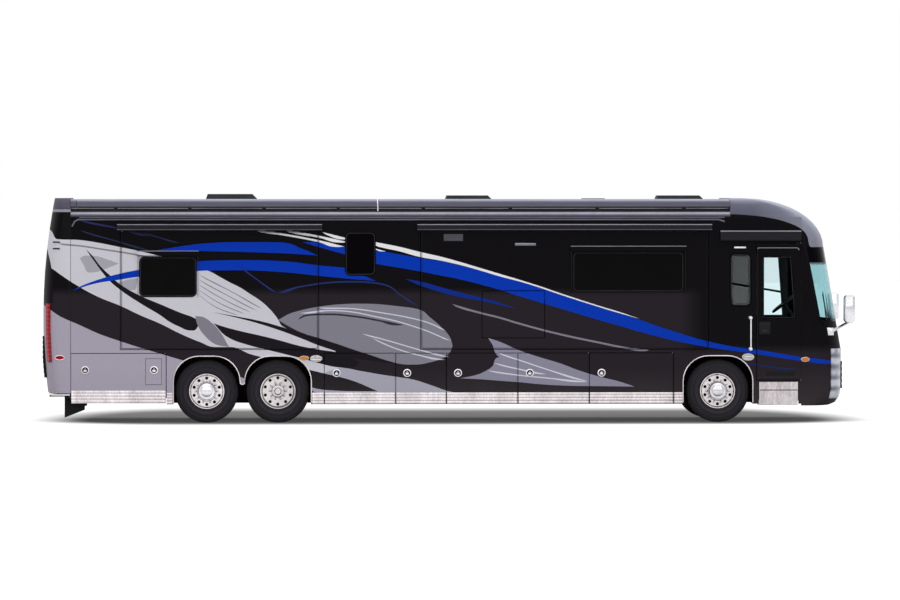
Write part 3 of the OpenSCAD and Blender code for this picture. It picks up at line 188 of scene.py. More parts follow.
tyre_rubber, tree, shader = new_finish("tyre_rubber")
shader.inputs["Specular IOR Level"].default_value = 0.12
spot = add(tree, "TexCoord").outputs["Object"]
film = add(tree, "TexNoise", Vector=spot, Scale=1000 / 120, Detail=8.0, Roughness=0.65).outputs[0]
skin = add(tree, "TexNoise", Vector=spot, Scale=1000 / 4, Detail=3.0).outputs[0]
across = add(tree, "SeparateXYZ", Vector=spot)
along, height = across.outputs[0], across.outputs[2]
dust = add(tree, "MapRange", Value=height, From_Min=0.45, From_Max=0.0, To_Min=0.0, To_Max=0.25).outputs[0]
dust = add(tree, "Math", {"operation": "ADD"}, i0=dust, i1=film).outputs[0]
dust = add(tree, "MapRange", Value=dust, From_Min=0.35, From_Max=0.85).outputs[0]
# Rings on the sidewall, by the distance from whichever axle the point turns on
tag_x, drive_x, front_x, axle_z = -4.1195, -2.9085, 4.5895, 0.535
between = (tag_x + drive_x) / 2
hindmost = add(tree, "Math", {"operation": "LESS_THAN"}, i0=along, i1=between).outputs[0]
axle = add(tree, "MapRange", Value=hindmost, To_Min=drive_x, To_Max=tag_x).outputs[0]
ahead = add(tree, "Math", {"operation": "GREATER_THAN"}, i0=along, i1=0.0).outputs[0]
axle = add(tree, "Mix", i0=ahead, i2=axle, i3=front_x).outputs[0]
run = add(tree, "Math", {"operation": "SUBTRACT"}, i0=along, i1=axle).outputs[0]
rise = add(tree, "Math", {"operation": "SUBTRACT"}, i0=height, i1=axle_z).outputs[0]
spoke = add(tree, "CombineXYZ", X=run, Y=rise).outputs[0]
reach = add(tree, "VectorMath", {"operation": "LENGTH"}, i0=spoke).outputs[1]
reach = add(tree, "MapRange", Value=reach, From_Min=0.30, From_Max=0.54).outputs[0]
rings = add(tree, "ValToRGB", Fac=reach)
stops = rings.color_ramp.elements
stops[0].color, stops[1].color = linear("#121014"), linear("#17151a")
for place, code in ((0.12, "#2a272d"), (0.30, "#39363d"), (0.44, "#1c1a1f"),
                    (0.62, "#2c2a30"), (0.74, "#1b191d")):
    stops.new(place).color = linear(code)
tone = add(tree, "Mix", {"data_type": "RGBA"}, i0=dust, i6=rings.outputs[0], i7=linear("#2d2a2f")).outputs[2]
tree.links.new(tone, shader.inputs["Base Color"])
gloss = add(tree, "MapRange", Value=film, From_Min=0.3, From_Max=0.7, To_Min=0.5, To_Max=0.75).outputs[0]
tree.links.new(gloss, shader.inputs["Roughness"])
relief = add(tree, "Bump", Height=skin, Strength=0.25, Distance=0.0008).outputs[0]
tree.links.new(relief, shader.inputs["Normal"])
# Half a section as (radius, distance from the middle): bead, ribbed sidewall, shoulder, grooves
half_tyre = [(0.301, -0.112), (0.308, -0.124), (0.318, -0.130), (0.322, -0.136), (0.330, -0.137),
             (0.334, -0.133), (0.352, -0.138), (0.384, -0.1436), (0.388, -0.1452), (0.394, -0.1452),
             (0.398, -0.144), (0.430, -0.1445), (0.452, -0.142), (0.455, -0.1440), (0.461, -0.1435),
             (0.464, -0.140), (0.486, -0.1365), (0.508, -0.131), (0.523, -0.1235), (0.531, -0.114),
             (0.5345, -0.104), (0.535, -0.088), (0.523, -0.086), (0.523, -0.075), (0.535, -0.073),
             (0.535, -0.031), (0.523, -0.029), (0.523, -0.018), (0.535, -0.016)]
tyre_line = half_tyre + [(r, -y) for r, y in reversed(half_tyre)]
tyre_steps, tyre_y, dual_pitch = 90, 1.070, 0.345
tread_r, tread_room = 0.5335, 0.0035


def is_notch(face, x):
    """Whether a face of a tyre's crown on the axle at x is one of every second one, which are sunk."""
    spot = face.calc_center_median()
    reach = math.hypot(spot.x - x, spot.z - axle_z)
    place = math.atan2(spot.z - axle_z, spot.x - x) / math.tau * tyre_steps - 0.5
    broad = 0.008 < face.calc_area() ** 0.5 < 0.05
    return broad and abs(reach - tread_r) < tread_room and round(place) % 2 == 1


sides = (("right", -1), ("left", 1))
wheel_sets = (("front", front_x, 1, "front_wheel"), ("drive", drive_x, 2, "drive_wheels"),
              ("tag", tag_x, 1, "tag_wheel"))
for side, sign in sides:
    for axle, x, count, body in wheel_sets:
        bm = bmesh.new()
        for i in range(count):
            turned(bm, tyre_line, (x, sign * (tyre_y - dual_pitch * i), axle_z), (0, sign, 0), tyre_steps)
        notches = [face for face in bm.faces if is_notch(face, x)]
        bmesh.ops.inset_individual(bm, faces=notches, thickness=0.003, depth=-0.007)
        node = "%s_tyre%s_%s" % (axle, "s" if count > 1 else "", side)
        made = piece("tread_" + node, bm, tyre_rubber, "%s_%s" % (body, side))
        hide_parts(node)

# Wheels: forged aluminium discs with ten hand holes, machined and polished by hand, which
# leaves a soft haze. Inboard of the outer discs the metal is darkened almost to black as painted shade, so the
# holes read dark.
wheel_alloy = mottled("polished_forged_aluminium", "#b8b2b3", "#e3dede", 60, 0.2, 1.0, 0.04)
tree = wheel_alloy.node_tree
shader = tree.nodes["Principled BSDF"]
spot = add(tree, "TexCoord").outputs["Object"]
# Painted shade: the metal inboard of the outer disc is darkened almost to black
depth = add(tree, "SeparateXYZ", Vector=spot).outputs[1]
depth = add(tree, "Math", {"operation": "ABSOLUTE"}, i0=depth).outputs[0]
outer = add(tree, "MapRange", Value=depth, From_Min=0.94, From_Max=0.98, To_Min=0.02).outputs[0]
tone = shader.inputs["Base Color"].links[0].from_socket
tone = add(tree, "Mix", {"data_type": "RGBA", "blend_type": "MULTIPLY"}, i0=1.0, i6=tone, i7=outer).outputs[2]
tree.links.new(tone, shader.inputs["Base Color"])
for rims in ("front_rim", "drive_rims", "tag_rim"):
    dress(wheel_alloy, rims + "_right", rims + "_left")

# Hub covers: pressed and chromed steel domes, clipped over the studs. Ten nut caps stand round
# each one.
chrome = mottled("chromed_steel", "#bcbabf", "#e2e0e5", 25, 0.10, 1.0, 0.02)
nut_cap = [(0.0195, 0.0), (0.0195, 0.022), (0.016, 0.036), (0.008, 0.043), (0.0, 0.044)]
nut_count, nut_lead = 10, 0.021
for side, sign in sides:
    for axle, x, face, wide, tall, body in (("front", front_x, 1.1585, 0.172, 0.085, "front_wheel"),
                                            ("tag", tag_x, 1.1585, 0.172, 0.085, "tag_wheel"),
                                            ("drive", drive_x, 1.0345, 0.118, 0.138, "drive_wheels")):
        bm = bmesh.new()
        dome = [(wide + 0.001, 0.0), (wide + 0.001, tall * 0.25), (wide * 0.94, tall * 0.5),
                (wide * 0.80, tall * 0.83), (wide * 0.55, tall * 0.88), (wide * 0.52, tall),
                (wide * 0.40, tall * 1.12), (0.0, tall * 1.16)]
        turned(bm, dome, (x, sign * face, axle_z), (0, sign, 0), 48)
        for i in range(nut_count):
            turn = math.tau * i / nut_count
            run, rise = (wide + nut_lead) * math.cos(turn), (wide + nut_lead) * math.sin(turn)
            turned(bm, nut_cap, (x + run, sign * face, axle_z + rise), (0, sign, 0), 12)
        piece("hub_cover_%s_%s" % (axle, side), bm, chrome, "%s_%s" % (body, side))


# Side walls, slide fronts and doors: gel-coated fibreglass under two-stage automotive enamel.
# The stripes are masked and sprayed in blue, silver and greys over black, then cleared. The grey
# brow and a pale line at the tail's head are painted reflection and painted highlight.
paint, tree, shader = new_finish("two_stage_automotive_enamel")
shader.inputs["Specular IOR Level"].default_value = 0.0
shader.inputs["Coat Weight"].default_value = 0.10
shader.inputs["Coat Roughness"].default_value = 0.06
spot = add(tree, "TexCoord").outputs["Object"]
across = add(tree, "SeparateXYZ", Vector=spot)
along, side_y, height = across.outputs[0], across.outputs[1], across.outputs[2]
# Black over the windows, a lighter charcoal below them and on the skirts
below = add(tree, "MapRange", Value=height, From_Min=2.30, From_Max=2.16).outputs[0]
behind = add(tree, "MapRange", Value=along, From_Min=4.35, From_Max=3.95).outputs[0]
middle = add(tree, "Math", {"operation": "MULTIPLY"}, i0=below, i1=behind).outputs[0]
skirt = add(tree, "MapRange", Value=height, From_Min=1.32, From_Max=1.16).outputs[0]
skirt = add(tree, "Math", {"operation": "MAXIMUM"}, i0=middle, i1=skirt).outputs[0]
tone = add(tree, "Mix", {"data_type": "RGBA"},
           i0=skirt, i6=linear("#0b080d"), i7=linear("#29232a")).outputs[2]
# Each stripe: its colour, its upper edge, and its lower edge or, for a thin line, its thickness.
# The edges are marks in pixels of the photograph. The stripes are laid in this order, each over the last.
stripes = {
    # Painted reflection: the black brow over the windscreen is painted grey, as the sky mirrored in it
    "painted reflection on the brow": (
        "#666879",
        [(718, 214), (720, 190), (845, 190)],
        [(718, 214), (745, 214.8), (770, 217.8), (790, 223), (803, 229.5), (809, 237), (812, 247),
         (845, 249)]),
    "fairing at the head of the tail": (
        "#575362",
        [(40, 190), (78, 190), (81, 209)],
        [(40, 209), (81, 209)]),
    # Painted highlight: a pale line where the roof's edge turns onto the tail
    "painted highlight under the fairing": (
        "#9c9da8",
        [(40, 209.3), (78, 209.3), (81, 212)],
        [(40, 212), (81, 212)]),
    "grey field low at the rear": (
        "#b7b0c1",
        [(40, 303), (51, 310), (60, 316), (80, 325), (100, 334), (120, 341), (140, 347.5), (160, 353.5),
         (180, 359.5), (200, 365), (225, 373), (252, 383), (253, 412)],
        [(40, 412), (253, 412)]),
    "broad silver band": (
        "#dddbe4",
        [(40, 224), (52, 232), (57, 239), (80, 240), (100, 243), (120, 247), (137, 250.5), (160, 256),
         (180, 261.5), (200, 268), (210, 271.5), (220, 277), (230, 282.5), (240, 287.5), (250, 294),
         (260, 300.5), (270, 309.5), (278, 319.5), (282, 326), (300, 332.5), (320, 338.5), (335, 351),
         (345, 372), (352, 381)],
        [(40, 262), (53, 269), (60, 274), (80, 287), (100, 297.5), (120, 305.5), (140, 315), (160, 323.5),
         (180, 333.5), (200, 342), (215, 347), (230, 347), (250, 354), (263, 357.5), (285, 364),
         (308, 370), (322, 373), (335, 377), (352, 381)]),
    "grey leaf high in the silver": (
        "#b4b2bd",
        [(80, 258), (86, 255.5), (96, 256), (108, 259.5), (119, 263.5)],
        [(80, 258), (84, 265), (90, 272.5), (100, 271), (110, 267), (119, 263.5)]),
    "grey leaf before the window": (
        "#b4b2bd",
        [(117, 283), (128, 279.5), (138, 278)],
        [(117, 283), (126, 289), (134, 290), (138, 278)]),
    "black wrap of the tail": (
        "#120e14",
        [(40, 247), (46, 248.5), (48.5, 255), (51.5, 268), (52.5, 280), (53, 303)],
        [(40, 303), (53, 303)]),
    "black slash in the silver": (
        "#1b161d",
        [(86, 249), (92, 255), (100, 265.5), (112, 277), (120, 284), (140, 295.5), (160, 304),
         (180, 312.5), (196, 319), (199, 322)],
        [(86, 249), (95, 262), (110, 281), (120, 289.5), (140, 303), (160, 315), (170, 322), (180, 327),
         (187, 330), (193, 330.5), (198, 326), (199, 322)]),
    "grey leaf at the slash's tip": (
        "#8d8a97",
        [(195, 316), (203, 317), (212, 323), (220, 332), (229, 347)],
        [(195, 316), (198, 326), (205, 336), (215, 344), (229, 347)]),
    "grey line on the silver": (
        "#8f8c99",
        [(58, 243), (80, 245), (100, 248), (137, 254), (170, 261)], 1.6),
    "upper dark stripe": (
        "#1d181f",
        [(212, 312), (240, 317), (260, 321), (280, 326.5), (300, 332.5), (320, 338.5), (340, 345),
         (370, 354), (400, 364)],
        [(212, 312), (240, 318.5), (260, 324), (280, 330.5), (300, 338), (320, 346), (335, 351),
         (350, 357), (370, 361), (400, 364)]),
    "lower dark stripe": (
        "#1d181f",
        [(213, 323), (220, 325.5), (240, 331), (260, 335.5), (280, 340.5), (300, 346), (318, 349.5),
         (340, 353), (360, 362)],
        [(213, 323), (230, 338.5), (250, 345.5), (270, 350.5), (300, 358), (320, 363.5), (335, 367),
         (350, 368), (360, 362)]),
    "grey lens shape": (
        "#8d8c99",
        [(278, 320), (290, 313.5), (300, 310.5), (320, 306.5), (345, 304), (360, 303.7), (400, 306.5),
         (420, 310), (430, 317.5), (440, 326), (450, 337.5), (452.5, 346)],
        [(278, 320), (290, 327), (300, 332), (320, 338.5), (340, 345), (350, 348.5), (370, 355),
         (390, 361.5), (400, 364), (410, 364.8), (420, 364.5), (430, 362.5), (440, 359.5), (447, 355.5),
         (451, 350.5), (452.5, 346)]),
    "first line in the lens": (
        "#dcdcec",
        [(318, 307.5), (350, 308), (380, 312), (419, 319.5), (435, 325), (446, 331)], 1.2),
    "second line in the lens": (
        "#dcdcec",
        [(300, 313), (330, 310), (380, 317), (420, 328), (440, 336), (451, 341)], 1.2),
    "third line in the lens": (
        "#dcdcec",
        [(362, 333.5), (380, 338), (420, 349.5), (449, 357)], 1.2),
    "fourth line in the lens": (
        "#dcdcec",
        [(372, 338), (400, 349.5), (420, 355), (445, 360)], 1.2),
    "dark hook in the lens": (
        "#3a353d",
        [(298, 320), (301, 316.5), (310, 314), (330, 313.5), (350, 315), (380, 320), (404, 325)], 1.8),
    "low grey field": (
        "#b8b6c6",
        [(308, 387), (320, 376), (335, 369), (340, 368), (360, 371), (380, 374.5), (400, 377.5),
         (410, 379), (430, 385), (447, 391), (455, 393)],
        [(308, 387), (320, 393), (455, 393)]),
    "black spear over the low field": (
        "#221d24",
        [(306, 369), (322, 373), (350, 380), (378, 391.5)],
        [(306, 369), (311, 387), (340, 391), (378, 391.5)]),
    "lower blue swoosh": (
        "#003abe",
        [(72, 291), (80, 286.5), (100, 279), (120, 273.5), (140, 269.5), (195, 261.5), (240, 260),
         (280, 261), (320, 265.5), (345, 268), (362, 275), (376, 281)],
        [(72, 291), (80, 288), (100, 282.5), (120, 279.5), (140, 276.5), (195, 271), (240, 270.3),
         (280, 272), (320, 276), (345, 278.5), (376, 281)]),
    "upper blue swoosh": (
        "#003abe",
        [(157, 250), (170, 248), (190, 245), (210, 243), (240, 242), (280, 242.3), (300, 248),
         (318, 255.5)],
        [(157, 250), (200, 251), (250, 252.2), (290, 253.7), (318, 255.5)]),
    "long blue sweep to the nose": (
        "#003abe",
        [(302, 242), (320, 242.5), (345, 246), (375, 250), (400, 254.5), (420, 258), (440, 261),
         (460, 265.5), (480, 270.5), (500, 276.5), (520, 282), (540, 288), (560, 294.8), (580, 301.2),
         (600, 307.5), (620, 313.5), (640, 320), (660, 327), (680, 333.5), (700, 339.5), (720, 344.2),
         (740, 348), (760, 350.5), (780, 353.8), (800, 357.3), (832, 361.5), (838, 364.5)],
        [(302, 242), (320, 247.5), (345, 254.5), (375, 263.5), (400, 268), (420, 271.5), (440, 275.5),
         (460, 279.5), (480, 284.5), (500, 290), (520, 296.5), (540, 302.5), (560, 308.5), (580, 314.5),
         (600, 320.5), (620, 326), (640, 332), (660, 337.3), (680, 342), (700, 346), (720, 349.3),
         (740, 352), (760, 354.8), (780, 358), (800, 361), (832, 364.5), (838, 364.5)]),
    "white edge over the sweep": (
        "#fdfcff",
        [(368, 240.5), (375, 242), (400, 247), (420, 252), (440, 256.5), (460, 262), (480, 268),
         (500, 274), (520, 280), (540, 286.3), (560, 293.2), (600, 306.2), (620, 312.2), (640, 319)],
        [(368, 240.5), (375, 245.5), (400, 251.5), (420, 257), (440, 260.5), (460, 265), (480, 270.5),
         (500, 276.5), (520, 281.7), (540, 287.8), (560, 294.6), (600, 307.4), (620, 313.4), (640, 319)]),
    "first white streak": (
        "#f8f8fc",
        [(255, 229.5), (280, 233), (318, 240), (344, 246.5)], 2.0),
    "second white streak": (
        "#f8f8fc",
        [(284, 229.5), (318, 235.5), (348, 242)], 2.0),
    "third white streak": (
        "#f8f8fc",
        [(322, 232), (350, 239)], 2.0),
    "white tip in the sweep": (
        "#fdfcff",
        [(373, 248), (386, 251.5)], 1.5),
    "thin blue streak": (
        "#0a2f96",
        [(405, 279), (420, 281.5), (440, 287), (460, 292.5), (480, 297.5), (500, 303), (517, 309)],
        [(405, 279), (420, 285.5), (440, 292), (460, 297), (480, 300.7), (500, 305), (517, 309)]),
    "silver streak": (
        "#8b8996",
        [(452, 304), (480, 312), (500, 317), (520, 323), (560, 333.5), (600, 342), (622, 346.5),
         (650, 350.5)], 1.9),
    "upper part of the grey spear": (
        "#9896aa",
        [(488, 338), (500, 342), (518, 350), (540, 357.5), (560, 363.5), (580, 371), (600, 377),
         (620, 382), (635, 387)],
        [(488, 338), (493, 346), (496, 354), (520, 370.5), (540, 378), (560, 385.7), (600, 386.5),
         (635, 387)]),
    "lower part of the grey spear": (
        "#9896aa",
        [(460, 378.5), (475, 375.5), (485, 371.5), (493, 366), (497, 358), (520, 356), (545, 366),
         (560, 372), (580, 380), (600, 386.5)],
        [(460, 378.5), (480, 379.5), (500, 381), (520, 382.5), (540, 384.5), (560, 385.7), (600, 386.5)]),
    "first line on the spear": (
        "#e6e6f4",
        [(496, 352), (520, 360), (550, 370), (588, 381.5)], 1.2),
    "second line on the spear": (
        "#e6e6f4",
        [(494, 363), (520, 369), (547, 374.5)], 1.2),
    "third line on the spear": (
        "#e6e6f4",
        [(488, 370.5), (520, 375), (550, 378), (588, 382)], 1.2),
    "faint blue line down to its turn": (
        "#26336f",
        [(236, 263), (256, 278), (277, 293)], 1.6),
    "faint blue line from its turn": (
        "#26336f",
        [(277, 293), (300, 286), (350, 281), (380, 283), (400, 294), (418, 306)], 1.6),
    "faint blue line at the tail": (
        "#26304f",
        [(80, 230), (115, 240), (150, 250)], 1.3),
    "faint blue line over the window": (
        "#26304f",
        [(140, 231), (160, 237), (180, 243)], 1.3),
    "faint blue line under the roof": (
        "#2a3166",
        [(78, 219.5), (120, 228), (150, 236)], 1.4),
    "faint blue line at the door's foot": (
        "#1c2a6b",
        [(740, 361.5), (770, 366.5), (798, 369.5)], 1.2),
}
for i in range(5):
    marks = [(198, 274 + 5 * i), (232 - 4 * i, 291.5 + 3.8 * i), (263 - 6 * i, 309 + 1.6 * i)]
    stripes["fine line %d on the silver" % (i + 1)] = ("#8f8c99", marks, 0.9)
# At the wall a pixel is 17 mm, and these two pixels lie at the tail's end and on the ground
metres_per_pixel = 0.017
tail_pixel, ground_pixel = 42.0, 422.9
tail_x = cad_box[0][0]
line_taper = 6.0


def on_wall(marks):
    """Pixels of the photograph as (X, Z) on the wall."""
    return [(tail_x + (x - tail_pixel) * metres_per_pixel, (ground_pixel - y) * metres_per_pixel)
            for x, y in marks]


def thin_line_foot(marks, thickness):
    """The lower edge of a thin line, which runs out to a point at each end."""
    tips = []
    for (x, y), (next_x, next_y) in ((marks[0], marks[1]), (marks[-1], marks[-2])):
        share = min(1.0, line_taper / abs(next_x - x))
        tips.append((x + (next_x - x) * share, y + (next_y - y) * share + thickness))
    foot = [(x, y + thickness) for x, y in marks[1:-1]]
    return list(dict([marks[0], tips[0]] + foot + [tips[1], marks[-1]]).items())


masks = {}
for name, (code, upper, lower) in stripes.items():
    if isinstance(lower, float):
        lower = thin_line_foot(upper, lower)
    upper, lower = on_wall(upper), on_wall(lower)
    x0, x1 = min(x for x, z in upper + lower), max(x for x, z in upper + lower)
    z0, z1 = min(z for x, z in upper + lower), max(z for x, z in upper + lower)
    u = add(tree, "MapRange", Value=along, From_Min=x0, From_Max=x1).outputs[0]
    v = add(tree, "MapRange", {"clamp": False}, Value=height, From_Min=z0, From_Max=z1).outputs[0]
    edges = []
    for edge in (upper, lower):
        curve = add(tree, "FloatCurve", Value=u)
        spots = [((x - x0) / (x1 - x0), (z - z0) / (z1 - z0)) for x, z in edge]
        points = curve.mapping.curves[0].points
        points[0].location, points[1].location = spots[0], spots[-1]
        for place in spots[1:-1]:
            points.new(*place)
        for point in points:
            point.handle_type = "AUTO_CLAMPED"
        curve.mapping.update()
        edges.append(curve.outputs[0])
    under = add(tree, "Math", {"operation": "LESS_THAN"}, i0=v, i1=edges[0]).outputs[0]
    over = add(tree, "Math", {"operation": "GREATER_THAN"}, i0=v, i1=edges[1]).outputs[0]
    masks[name] = add(tree, "Math", {"operation": "MULTIPLY"}, i0=under, i1=over).outputs[0]
    tone = add(tree, "Mix", {"data_type": "RGBA"}, i0=masks[name], i6=tone, i7=linear(code)).outputs[2]
# Painted highlight: the brow's grey pales where the cap turns up and toward the front
brow_highlight = add(tree, "SeparateXYZ", Vector=add(tree, "TexCoord").outputs["Normal"]).outputs[1]
brow_highlight = add(tree, "Math", {"operation": "ABSOLUTE"}, i0=brow_highlight).outputs[0]
brow_highlight = add(tree, "MapRange", Value=brow_highlight, From_Min=0.90, From_Max=0.15, To_Max=0.85).outputs[0]
forward = add(tree, "MapRange", Value=along, From_Min=5.20, From_Max=6.05, To_Max=0.42).outputs[0]
brow_highlight = add(tree, "Math", {"operation": "MAXIMUM"}, i0=brow_highlight, i1=forward).outputs[0]
brow = masks["painted reflection on the brow"]
brow = add(tree, "Math", {"operation": "MULTIPLY"}, i0=brow, i1=brow_highlight).outputs[0]
tone = add(tree, "Mix", {"data_type": "RGBA"}, i0=brow, i6=tone, i7=linear("#b3b4c4")).outputs[2]
# Inner faces, which the stripes never reach, are bare grey board
depth = add(tree, "Math", {"operation": "ABSOLUTE"}, i0=side_y).outputs[0]
board = add(tree, "Math", {"operation": "LESS_THAN"}, i0=depth, i1=1.245).outputs[0]
for place, side_of, limit in ((along, "LESS_THAN", 6.005), (along, "GREATER_THAN", -6.42),
                              (height, "LESS_THAN", 3.495)):
    within = add(tree, "Math", {"operation": side_of}, i0=place, i1=limit).outputs[0]
    board = add(tree, "Math", {"operation": "MULTIPLY"}, i0=board, i1=within).outputs[0]
tone = add(tree, "Mix", {"data_type": "RGBA"}, i0=board, i6=tone, i7=linear("#3a373a")).outputs[2]
# Metal flake, drawn at 6 mm so that it shows, and road dust that thins out above the skirts
flake = add(tree, "TexNoise", Vector=spot, Scale=1000 / 6, Detail=2.0).outputs[0]
flake = add(tree, "MapRange", Value=flake, From_Min=0.3, From_Max=0.7, To_Min=0.92, To_Max=1.08).outputs[0]
tone = add(tree, "Mix", {"data_type": "RGBA", "blend_type": "MULTIPLY"}, i0=1.0, i6=tone, i7=flake).outputs[2]
cloud = add(tree, "TexNoise", Vector=spot, Scale=1000 / 700, Detail=6.0, Roughness=0.6).outputs[0]
grime = add(tree, "MapRange", Value=height, From_Min=0.95, From_Max=0.3, To_Min=0.0, To_Max=0.16).outputs[0]
grime = add(tree, "Math", {"operation": "MULTIPLY"}, i0=grime, i1=cloud).outputs[0]
tone = add(tree, "Mix", {"data_type": "RGBA"}, i0=grime, i6=tone, i7=linear("#8f8880")).outputs[2]
tree.links.new(tone, shader.inputs["Base Color"])
gloss = add(tree, "MapRange", Value=cloud, From_Min=0.3, From_Max=0.7, To_Min=0.14, To_Max=0.24).outputs[0]
tree.links.new(gloss, shader.inputs["Roughness"])
peel = add(tree, "TexNoise", Vector=spot, Scale=1000 / 12, Detail=2.0).outputs[0]
relief = add(tree, "Bump", Height=peel, Strength=0.03, Distance=0.0006).outputs[0]
tree.links.new(relief, shader.inputs["Normal"])
dress(paint, "wall_right", "wall_left", "slide_right_rear", "slide_right_front", "slide_left",
      "tv_hatch", "entry_door")
bay_doors = {"right": ("1", "2", "3", "4", "5", "rear"), "left": ("1", "2", "3", "rear")}
for side, doors in bay_doors.items():
    dress(paint, *("bay_door_%s_%s" % (side, door) for door in doors))


# Front and rear caps: one-piece fibreglass mouldings bonded to the ends of the walls, painted
# with them. Their skins are copied from the solids and merged, so that they shade as one curve.
def merged_copy(name, node, finish, body, smooth):
    """A merged copy of a CAD node, which stands for it."""
    bm = bmesh.new()
    bm.from_mesh(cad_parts[node].data)
    bmesh.ops.remove_doubles(bm, verts=bm.verts, dist=2e-5)
    made = piece(name, bm, finish, body, smooth)
    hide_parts(node)
    return made


cap_smooth = 24
nose = merged_copy("nose_moulding", "front_cap", paint, "coach", cap_smooth)
# Its flange is trimmed back to the pillars, so that the windscreen is clear to its wrapped ends
pillar_foot, pillar_head = (6.345, 1.76), (6.160, 2.72)
bm = bmesh.new()
for sign in (-1, 1):
    corners = [bm.verts.new((x, sign * y, z)) for y in (1.10, 1.30)
               for x, z in (pillar_foot, (6.75, 1.76), (6.55, 2.72), pillar_head)]
    bmesh.ops.convex_hull(bm, input=corners)
trim = placed_object("flange_trim", bm)
step = nose.modifiers.new("flange_trim", "BOOLEAN")
step.object = trim
bm = bmesh.new()
bm.from_object(nose, bpy.context.evaluated_depsgraph_get())
nose.modifiers.remove(step)
bpy.data.objects.remove(trim)
bm.to_mesh(nose.data)
bm.free()
nose.data.set_sharp_from_angle(angle=math.radians(cap_smooth))
merged_copy("tail_moulding", "rear_cap", paint, "coach", cap_smooth)

# Roof: one fibreglass skin crowned for drainage, with a radius along each edge. Its dark gel coat
# is shaded by height as painted reflection, with a pale painted highlight along the bend of the edge.
roof_skin = mottled("roof_gel_coat_painted_reflection", "#e4e4e6", "#ffffff", 90, 0.45, 0.0, 0.05)
tree = roof_skin.node_tree
shader = tree.nodes["Principled BSDF"]
spot = add(tree, "TexCoord").outputs["Object"]
height = add(tree, "SeparateXYZ", Vector=spot).outputs[2]
# Painted reflection: darker greys either side of a pale painted highlight on the bend of the edge
rise = add(tree, "MapRange", Value=height, From_Min=3.50, From_Max=3.66).outputs[0]
roof_reflection_ramp = add(tree, "ValToRGB", Fac=rise)
stops = roof_reflection_ramp.color_ramp.elements
stops[0].color, stops[1].color = linear("#24232b"), linear("#3b3a44")
for place, code in ((0.14, "#4a4955"), (0.30, "#918fa0"), (0.44, "#cfceda"),
                    (0.54, "#55545f"), (0.62, "#37363f")):
    stops.new(place).color = linear(code)
chalk = shader.inputs["Base Color"].links[0].from_socket
tone = add(tree, "Mix", {"data_type": "RGBA", "blend_type": "MULTIPLY"},
           i0=1.0, i6=roof_reflection_ramp.outputs[0], i7=chalk).outputs[2]
tree.links.new(tone, shader.inputs["Base Color"])
dress(roof_skin, "roof")

# Arch mouldings: rolled stainless strip, brightened by hand and clipped round the wheel arches.
# Fine vertical drag marks and road film break the mirror.
bright = mottled("rolled_stainless", "#aca5a7", "#dfd8da", 14, 0.24, 1.0, 0.06, (1, 1, 0.25))
wall_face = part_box("wall_left")[1].y


def rod(bm, points, radius, closed=False):
    """A round bar along a line of points, added to a bmesh."""
    line = bpy.data.curves.new("rod", "CURVE")
    line.dimensions = "3D"
    line.bevel_depth = radius
    line.bevel_resolution = 2
    line.use_fill_caps = True
    run = line.splines.new("POLY")
    run.points.add(len(points) - 1)
    for point, place in zip(run.points, points):
        point.co = tuple(place) + (1.0,)
    run.use_cyclic_u = closed
    holder = bpy.data.objects.new("rod", line)
    bpy.context.scene.collection.objects.link(holder)
    made = bpy.data.meshes.new_from_object(holder.evaluated_get(bpy.context.evaluated_depsgraph_get()))
    bm.from_mesh(made)
    bpy.data.objects.remove(holder)
    bpy.data.curves.remove(line)
    bpy.data.meshes.remove(made)


def bend(x, z, r, start, end, y, steps=8):
    """Points on an arc about (x, z) in the plane y, from one angle to another in degrees."""
    turns = [math.radians(start + (end - start) * i / steps) for i in range(steps + 1)]
    return [(x + r * math.cos(turn), y, z + r * math.sin(turn)) for turn in turns]


arch_r, arch_top, arch_foot = 0.430, 1.130, 0.34
rear_half, front_half = 0.562, 0.590
strip_r, strip_lead = 0.011, 0.006
dip_r, dip_z = 0.0365, 0.69


def arch_line(x, half, y):
    """The line of a strip round a wheel arch, from foot to foot."""
    r, top, out = arch_r + strip_lead, arch_top + strip_lead, half + strip_lead
    return ([(x - out, y, arch_foot)] + bend(x - out + r, top - r, r, 180, 90, y)
            + bend(x + out - r, top - r, r, 90, 0, y) + [(x + out, y, arch_foot)])


for side, sign in sides:
    bm = bmesh.new()
    y = sign * (wall_face + 0.001)
    # One strip runs over both rear wheels and dips between them
    dip = ([(tag_x + rear_half + strip_lead, y, dip_z)] + bend(between, dip_z, dip_r, 180, 360, y)
           + [(drive_x - rear_half - strip_lead, y, dip_z + 0.02)])
    rod(bm, arch_line(tag_x, rear_half, y)[:-1] + dip + arch_line(drive_x, rear_half, y)[1:], strip_r)
    rod(bm, arch_line(front_x, front_half, y), strip_r)
    piece("arch_moulding_" + side, bm, bright, "coach")


# Sill bands: ribbed stainless strip along the foot of every bay door and skirt. Each length
# rides on the door that it is riveted to.
def ribbed(bm, x0, x1, z0, z1, sign):
    """A strip on a wall, with four flat ribs along it."""
    face, ribs = wall_face + 0.0003, 4
    tall = (z1 - z0) / ribs
    section = [(face, z0)]
    for i in range(ribs):
        low, high = z0 + tall * i, z0 + tall * (i + 1)
        section += [(face + 0.001, low + 0.0005), (face + 0.005, low + 0.008),
                    (face + 0.005, high - 0.008), (face + 0.001, high - 0.0005)]
    section.append((face, z1))
    ends = [[bm.verts.new((x, sign * y, z)) for y, z in section] for x in (x0, x1)]
    for end in ends:
        bm.faces.new(end)
    rims = [bm.edges.get(pair) for end in ends for pair in zip(end, end[1:] + end[:1])]
    bmesh.ops.bridge_loops(bm, edges=rims)
    bmesh.ops.recalc_face_normals(bm, faces=bm.faces)


